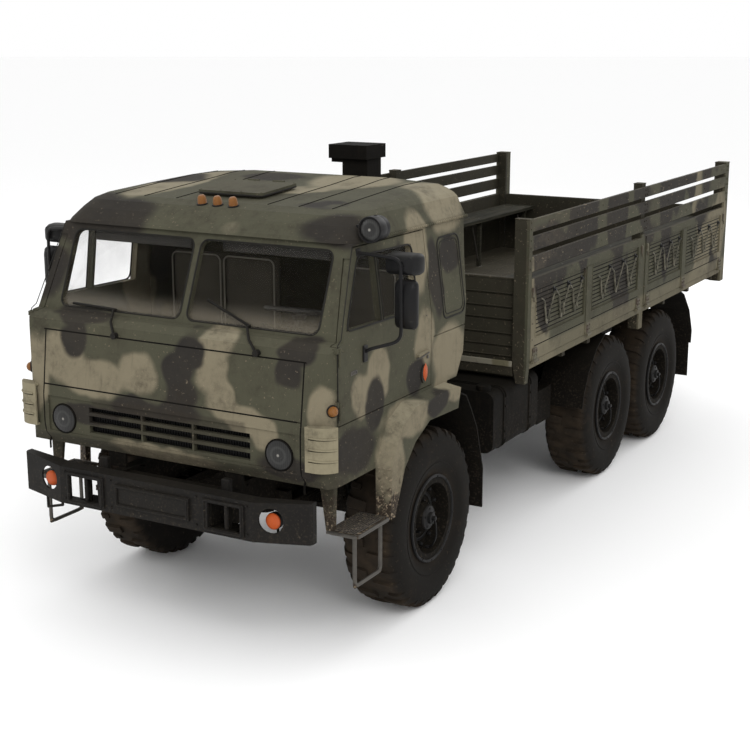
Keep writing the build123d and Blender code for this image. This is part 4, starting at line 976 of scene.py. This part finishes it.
# ---- bed
# Steel sheet and slats, sprayed in the cab's tones in broader shapes. The paint is scuffed along the
# front and rust shows through it in places. The inside is painted dark as painted shade.
bed = Finish("bed_paint")
tan_tone = bed.noise(1.15, 2, 0.5, (1.0, 1.0, 0.55))
dark_tone = bed.noise(1.45, 2, 0.5, (1.3, 1.0, 0.6)).at("Color")
dark_tone = bed.node("ShaderNodeSeparateXYZ", {}, {0: dark_tone}).at("Y")
# the outer faces carry the colours, and the inner ones are painted dark as painted shade
outside = (bed.x * bed.x).step(1.250 ** 2, 1.256 ** 2) | bed.y.step(3.875, 3.885)
base = bed.mix(tan_tone.step(0.535, 0.57), OLIVE, (0.135, 0.118, 0.078))
base = bed.mix(dark_tone.step(0.535, 0.57), base, DARK)
# a broken tan band runs along the foot of the sides
sill = (1 - bed.z.step(1.47, 1.52)) * bed.noise(2.6, 3).step(0.34, 0.46)
base = bed.mix(sill * 0.7, base, (0.120, 0.105, 0.068))
# the posts behind the cab stay plain olive
base = bed.mix(1 - bed.y.step(-1.098, -1.094), base, OLIVE)
# the slats are scuffed behind the cab and scratched all along
scuffed = bed.noise(5.0, 5, 0.7, (1.0, 1.0, 2.0)).step(0.42, 0.62)
scuffed = scuffed * (1 - bed.y.step(-0.95, -0.10)) * bed.z.step(2.03, 2.06)
base = bed.mix(scuffed * 0.6, base, (0.052, 0.042, 0.030))
scratch = bed.noise(16.0, 4, 0.7, (1.0, 0.6, 3.0)).step(0.645, 0.665) * bed.z.step(2.0, 2.05)
base = bed.mix(scratch * 0.6, base, CHIP)
# near-black for the inner faces: painted shade
inner = bed.mix(bed.noise(2.0, 3), (0.014, 0.013, 0.008), (0.030, 0.027, 0.018))
rust = bed.noise(6.5, 5, 0.62).step(0.64, 0.74)
base = bed.mix(rust * 0.35, bed.mix(outside, inner, base), (0.075, 0.052, 0.032))
BED = bed.coat(*weathered(bed, base, 0.40, 0.6, 1.1, 1.6), 0.0012, Specular_IOR_Level=0.15)
paint(BED, "bed_racks", "bed_front_wall", "bed_floor", "tailgate", "side_front_left", "side_front_right",
      "side_rear_left", "side_rear_right")

# ---- racks, front wall and floor
# The racks' slats are riveted to posts under cap plates. The front wall is sheet with rolled beads
# and flat uprights, the floor is planking, and a striped sill strip is bolted along its front.
BED_SIDE = 1275
SLATS = ((2362, 2450), (2223, 2323), (2070, 2178))  # foot and top of each
POST_RIVETS_Y = (1374, 3866, 3914, 6380, 6420)
rack = Kit()
for z0, z1 in SLATS:
    for y in POST_RIVETS_Y:
        rack.bolts([(BED_SIDE, y, z) for z in (z0 + 22, z1 - 22)], (1, 0, 0), 8, 6, 10)
    for y in range(1700, 6300, 560):
        rack.bolts([(BED_SIDE, y, (z0 + z1) / 2)], (1, 0, 0), 5, 4, 8)
rack.box(1156, 1279, 1341, 1406, 2450, 2458, 3).box(1156, 1279, 6338, 6464, 2460, 2468, 3)
rack.box(1168, 1252, 3838, 3942, 2474, 2482, 3)
rack.bolts([(x, 1345, z) for x in (1185, 1250) for z in (1420, 1460, 1900, 2380)], (0, -1, 0), 9, 6)
rack.bolts([(x, 6460, z) for x in (1185, 1250) for z in (1300, 1420, 1900, 2380)], (0, 1, 0), 9, 6)
rack.mirrored().done("rack_rivets", BED, "truck", "camouflage_paint")
BEADS_Z = (1416, 1496, 1586, 1696, 1786, 1886)
wall = Kit()
for z in BEADS_Z:
    wall.pipe([(-1128, 1403, z + 12), (1128, 1403, z + 12)], 7, sides=8, flat=0.7)
wall.box(-1152, 1152, 1398, 1444, 1996, 2014, 5)
for x in (-1140, -570, 0, 570, 1140):
    wall.box(x - 12, x + 12, 1438, 1452, 1424, 1998, 3)
wall.done("front_wall_ribs", BED, "truck", "camouflage_paint")
planks = Kit()
for i in range(11):
    x = -1100 + i * 200
    planks.box(x - 97, x + 97, 1446, 6330, 1417, 1426, 3)
planks.done("floor_planks", BED, "truck", "camouflage_paint")
edge = Finish("sill_strip")
stripe = edge.noise(5.0, 2, 0.5, (1.0, 0.2, 0.2)).step(0.44, 0.52)
SILL = edge.coat(edge.mix(stripe, (0.105, 0.092, 0.052), (0.170, 0.155, 0.115)), 0.8,
                 edge.noise(30.0, 4), 0.001)
sill = Kit()
sill.box(-1156, 1156, 1340, 1354, 1362, 1404, 3)
sill.bolts([(x, 1340, 1383) for x in range(-1100, 1101, 220)], (0, -1, 0), 8, 5)
sill.done("front_sill", SILL, "truck", "camouflage_paint")

# ---- drop sides
# Pressed steel panels, grooved in two fields, with painted shade in the grooves. Three hooks stand
# along the top of each field, with a bent rod laced between them. Hinge straps and latches are bolted
# on below and at the ends.
rod = Finish("worn_rod_paint")
RODS = rod.coat(rod.mix(rod.noise(18.0, 4).step(0.4, 0.6), (0.050, 0.047, 0.033), (0.115, 0.105, 0.078)), 0.6,
                Specular_IOR_Level=0.2)
rusty = Finish("rusty_steel")
patch = rusty.noise(16.0, 5).step(0.38, 0.62)
RUSTY = rusty.coat(rusty.mix(patch, (0.085, 0.078, 0.050), (0.048, 0.034, 0.022)), 0.85,
                   rusty.noise(60.0, 3), 0.001)
FIELD_Z = (1569, 1950)
GROOVES_Z = (1599, 1631, 1663, 1694, 1726, 1757, 1789, 1820, 1852, 1883, 1915)
# the hinge straps' half width, their foot and top, and their bolts
STRAP_HALF, STRAP_Z, STRAP_BOLTS_Z = 38, (1404, 1492), (1440, 1472)
PIN_HALF, PIN_Z = 44, 1397  # the hinge pins' half length and height
# each side's two ends along the truck, then the ends of its two fields
FIELDS = {
    "front": (1409, 3835, ((1494, 2473), (2645, 3745))),
    "rear": (3945, 6335, ((4035, 4960), (5125, 6245))),
}
for label, (y0, y1, fields) in FIELDS.items():
    for s, hand in HANDS:
        body = "side_" + label + "_" + hand
        rods, hooks, straps, shade_strips = Kit(), Kit(), Kit(), Kit()
        for f0, f1 in fields:
            across = f1 - f0
            line = [(0.10, 1846)]  # the laced rod, as shares of the field's length and heights
            for t in (0.37, 0.66, 0.945):
                y = f0 + across * t
                hooks.lathe((s * 1262, y, 1872), (s, 0, 0),
                            [(0, 0), (0, 13), (8, 14), (16, 8), (22, 12), (25, 9), (25, 0)], 14)
                hooks.box(s * 1262, s * 1268, y - 14, y + 14, 1840, 1896, 2)
                line += [(t - 0.21, 1820), (t - 0.17, 1672), (t - 0.155, 1652), (t - 0.14, 1676), (t, 1874)]
                bent = ((0.20, 1790), (0.165, 1650), (0.150, 1640))
                bent = [(s * 1276, f0 + across * (t - d), z) for d, z in bent]
                rods.pipe(soften(bent, 20, 3), 8, sides=8)
                straight = [(s * 1278, f0 + across * (t - d), z) for d, z in ((0.115, 1740), (0.100, 1655))]
                rods.pipe(straight, 6, sides=8)
            rods.pipe(soften([(s * 1279, f0 + across * t, z) for t, z in line], 24, 3), 5, sides=8)
            # black strips in the grooves, and one along the fields' foot, are painted shade
            for z in GROOVES_Z:
                shade_strips.box(s * 1257, s * 1265, f0 + 3, f1 - 3, z - 4, z + 4, 1)
            shade_strips.box(s * 1268, s * 1276, f0 - 18, f1 + 18, 1504, 1510, 1)
        posts = [y0 + 70, (fields[0][1] + fields[1][0]) / 2, y1 - 70]
        for y in posts:
            straps.box(s * 1273, s * 1287, y - STRAP_HALF, y + STRAP_HALF, *STRAP_Z, 4)
            straps.pipe([(s * 1290, y - PIN_HALF, PIN_Z), (s * 1290, y + PIN_HALF, PIN_Z)], 12, sides=12)
            straps.bolts([(s * 1287, y + e, z) for e in (-20, 20) for z in STRAP_BOLTS_Z], (s, 0, 0), 8, 7)
        for y in (y0 + 16, y1 - 16):
            straps.box(s * 1273, s * 1290, y - 14, y + 14, 1880, 1950, 4)
            straps.pipe([(s * 1288, y, 1880), (s * 1290, y, 1846)], 6)
        straps.bolts([(s * BED_SIDE, y, z) for y in (y0 + 30, y1 - 30) for z in (1560, 1680, 1800)],
                     (s, 0, 0), 6, 4, 10)
        shade_strips.done("groove_shade_" + body, CHASSIS, body, "camouflage_paint")
        rods.done("lashing_rods_" + body, RODS, body, "black_paint")
        hooks.done("lashing_hooks_" + body, SMOOTH_BLACK, body, "black_paint")
        straps.done("hinge_straps_" + body, RUSTY, body, "camouflage_paint")
        rim = Kit()
        rim.pipe([(s * 1268, y0 + 2, 2008), (s * 1268, y1 - 2, 2008)], 8, sides=10)
        for f0, f1 in fields:
            field = rounded(f0 - 4, f1 + 4, *FIELD_Z, 14, lambda a, b: Vector((s * BED_SIDE, a, b)), 3)
            rim.pipe(field, 4, True, 6)
        rim.done("side_edges_" + body, BED, body, "camouflage_paint")

# ---- tailgate
# Pressed steel like the drop sides, on three hinge straps, with a hooked handle at each end. Rolled
# edges run round its two fields and along its top.
GATE_Y = 6389  # its outer face
gate = Kit()
for x in (-1000, 0, 1000):
    gate.box(x - STRAP_HALF, x + STRAP_HALF, GATE_Y, GATE_Y + 13, *STRAP_Z, 4)
    gate.bolts([(x + e, GATE_Y + 13, z) for e in (-20, 20) for z in STRAP_BOLTS_Z], (0, 1, 0), 8, 7)
    gate.pipe([(x - PIN_HALF, GATE_Y + 17, PIN_Z), (x + PIN_HALF, GATE_Y + 17, PIN_Z)], 12, sides=12)
for x in (-1120, 1120):
    gate.box(x - 20, x + 20, GATE_Y, GATE_Y + 19, 1900, 1960, 5)
    gate.pipe(soften([(x, 6404, 1930), (x, 6424, 1930), (x, 6424, 1850)], 12), 7)
gate.done("tailgate_fittings", RUSTY, "tailgate", "camouflage_paint")
beam = Kit()
beam.pipe([(-1150, 6368, 2010), (1150, 6368, 2010)], 9)
for f0, f1 in ((-1070, -60), (60, 1070)):
    beam.pipe(rounded(f0 - 4, f1 + 4, *FIELD_Z, 14, lambda a, b: Vector((a, GATE_Y + 2, b)), 3), 4, True, 6)
beam.done("tailgate_edges", BED, "tailgate", "camouflage_paint")

# ---- benches
# Painted boards, three a side, with their grain showing through, are bolted to steel legs. A thin
# brace runs from each leg's foot up to the boards.
wood = Finish("bench_wood")
grain = wood.noise(4.0, 6, 0.6, (9.0, 0.5, 9.0))
WOOD = wood.coat(wood.mix(grain.step(0.35, 0.75), (0.015, 0.0145, 0.010), (0.043, 0.039, 0.026)), 0.8,
                 grain, 0.0012, Specular_IOR_Level=0.1)
paint(WOOD, "bench_left", "bench_right")
BOARDS = ((804, 908), (914, 1018), (1024, 1136))  # the edges of each board
LEGS_Y = (1640, 2760, 3890, 5020, 6140)
for s, hand in HANDS:
    boards = Kit()
    for x0, x1 in BOARDS:
        boards.box(s * x0, s * x1, 1462, 6318, 1904, 1912, 3)
    boards.done("bench_boards_" + hand, WOOD, "bench_" + hand, "bench_wood")
    legs = Kit()
    for y in LEGS_Y:
        legs.bolts([(s * x, y, 1911) for x in (856, 966, 1080)], (0, 0, 1), 8, 3, 12)
        legs.pipe([(s * 848, y, 1440), (s * 848, y - 170, 1850)], 8)
        legs.box(s * 826, s * 870, y - 34, y + 34, 1421, 1428, 2)
    legs.done("bench_bolts_" + hand, STEEL, "bench_" + hand, "black_paint")

# ---- rear flaps and tail lamps
# Flaps are bolted below the mudguards with steel washers. Each tail lamp has three moulded red
# lenses on a dark body.
flaps = Kit()
for s in (1, -1):
    flaps.bolts([(s * x, 5594, 700) for x in (900, 980, 1060, 1140)], (0, 1, 0), 10, 6)
    flaps.bolts([(s * x, 718, z) for x in (880, 1180) for z in (560, 700)], (0, 1, 0), 10, 6)
flaps.done("flap_bolts", STEEL, "truck", "black_paint")
RED = lens("red_lens", (0.13, 0.006, 0.004), (0.28, 0.013, 0.009))
paint(SMOOTH_BLACK, "tail_lamps")
TAIL_LENSES = ((606, 672), (678, 744), (750, 814))  # the edges of each lens
tails = Kit()
for s in (1, -1):
    for x0, x1 in TAIL_LENSES:
        tails.box(s * x0, s * x1, 6334, 6342, 1118, 1202, 5)
tails.done("tail_lenses", RED, "truck", "red_lens")

# ---- the floor and the light
# A pale studio floor runs out of sight, under large soft lights from above and both sides.
FLOOR_HALF = 400  # in metres
corners = [(x * FLOOR_HALF, y * FLOOR_HALF, 0) for x, y in ((-1, -1), (1, -1), (1, 1), (-1, 1))]
ground = bpy.data.meshes.new("floor")
ground.from_pydata(corners, [], [(0, 1, 2, 3)])
ground.materials.append(Finish("studio_floor").coat((0.97, 0.97, 0.97), 0.9))
floor = bpy.data.objects.new("floor", ground)
bpy.context.scene.collection.objects.link(floor)
# name, place, aimed at, size, watts
LIGHTS = [
    ("key", (9.0, -12.0, 11.0), (0, -1, 1.0), 7.0, 900),
    ("fill", (-11.0, -9.0, 8.0), (0, 0, 1.2), 8.0, 300),
    ("back", (3.0, 13.0, 10.0), (0, 1, 1.0), 8.0, 500),
]
for name, place, aim, size, watts in LIGHTS:
    light = bpy.data.lights.new(name, "AREA")
    light.energy, light.size = watts, size
    soft_light = bpy.data.objects.new(name, light)
    soft_light.location = place
    soft_light.rotation_mode = "QUATERNION"
    soft_light.rotation_quaternion = (Vector(aim) - Vector(place)).to_track_quat("-Z", "Y")
    bpy.context.scene.collection.objects.link(soft_light)
world = bpy.data.worlds.new("studio")
world.use_nodes = True
world.node_tree.nodes["Background"].inputs[0].default_value = (1.0, 1.0, 1.0, 1.0)
world.node_tree.nodes["Background"].inputs[1].default_value = 1.0
bpy.context.scene.world = world
bpy.context.scene.view_settings.view_transform = "Standard"
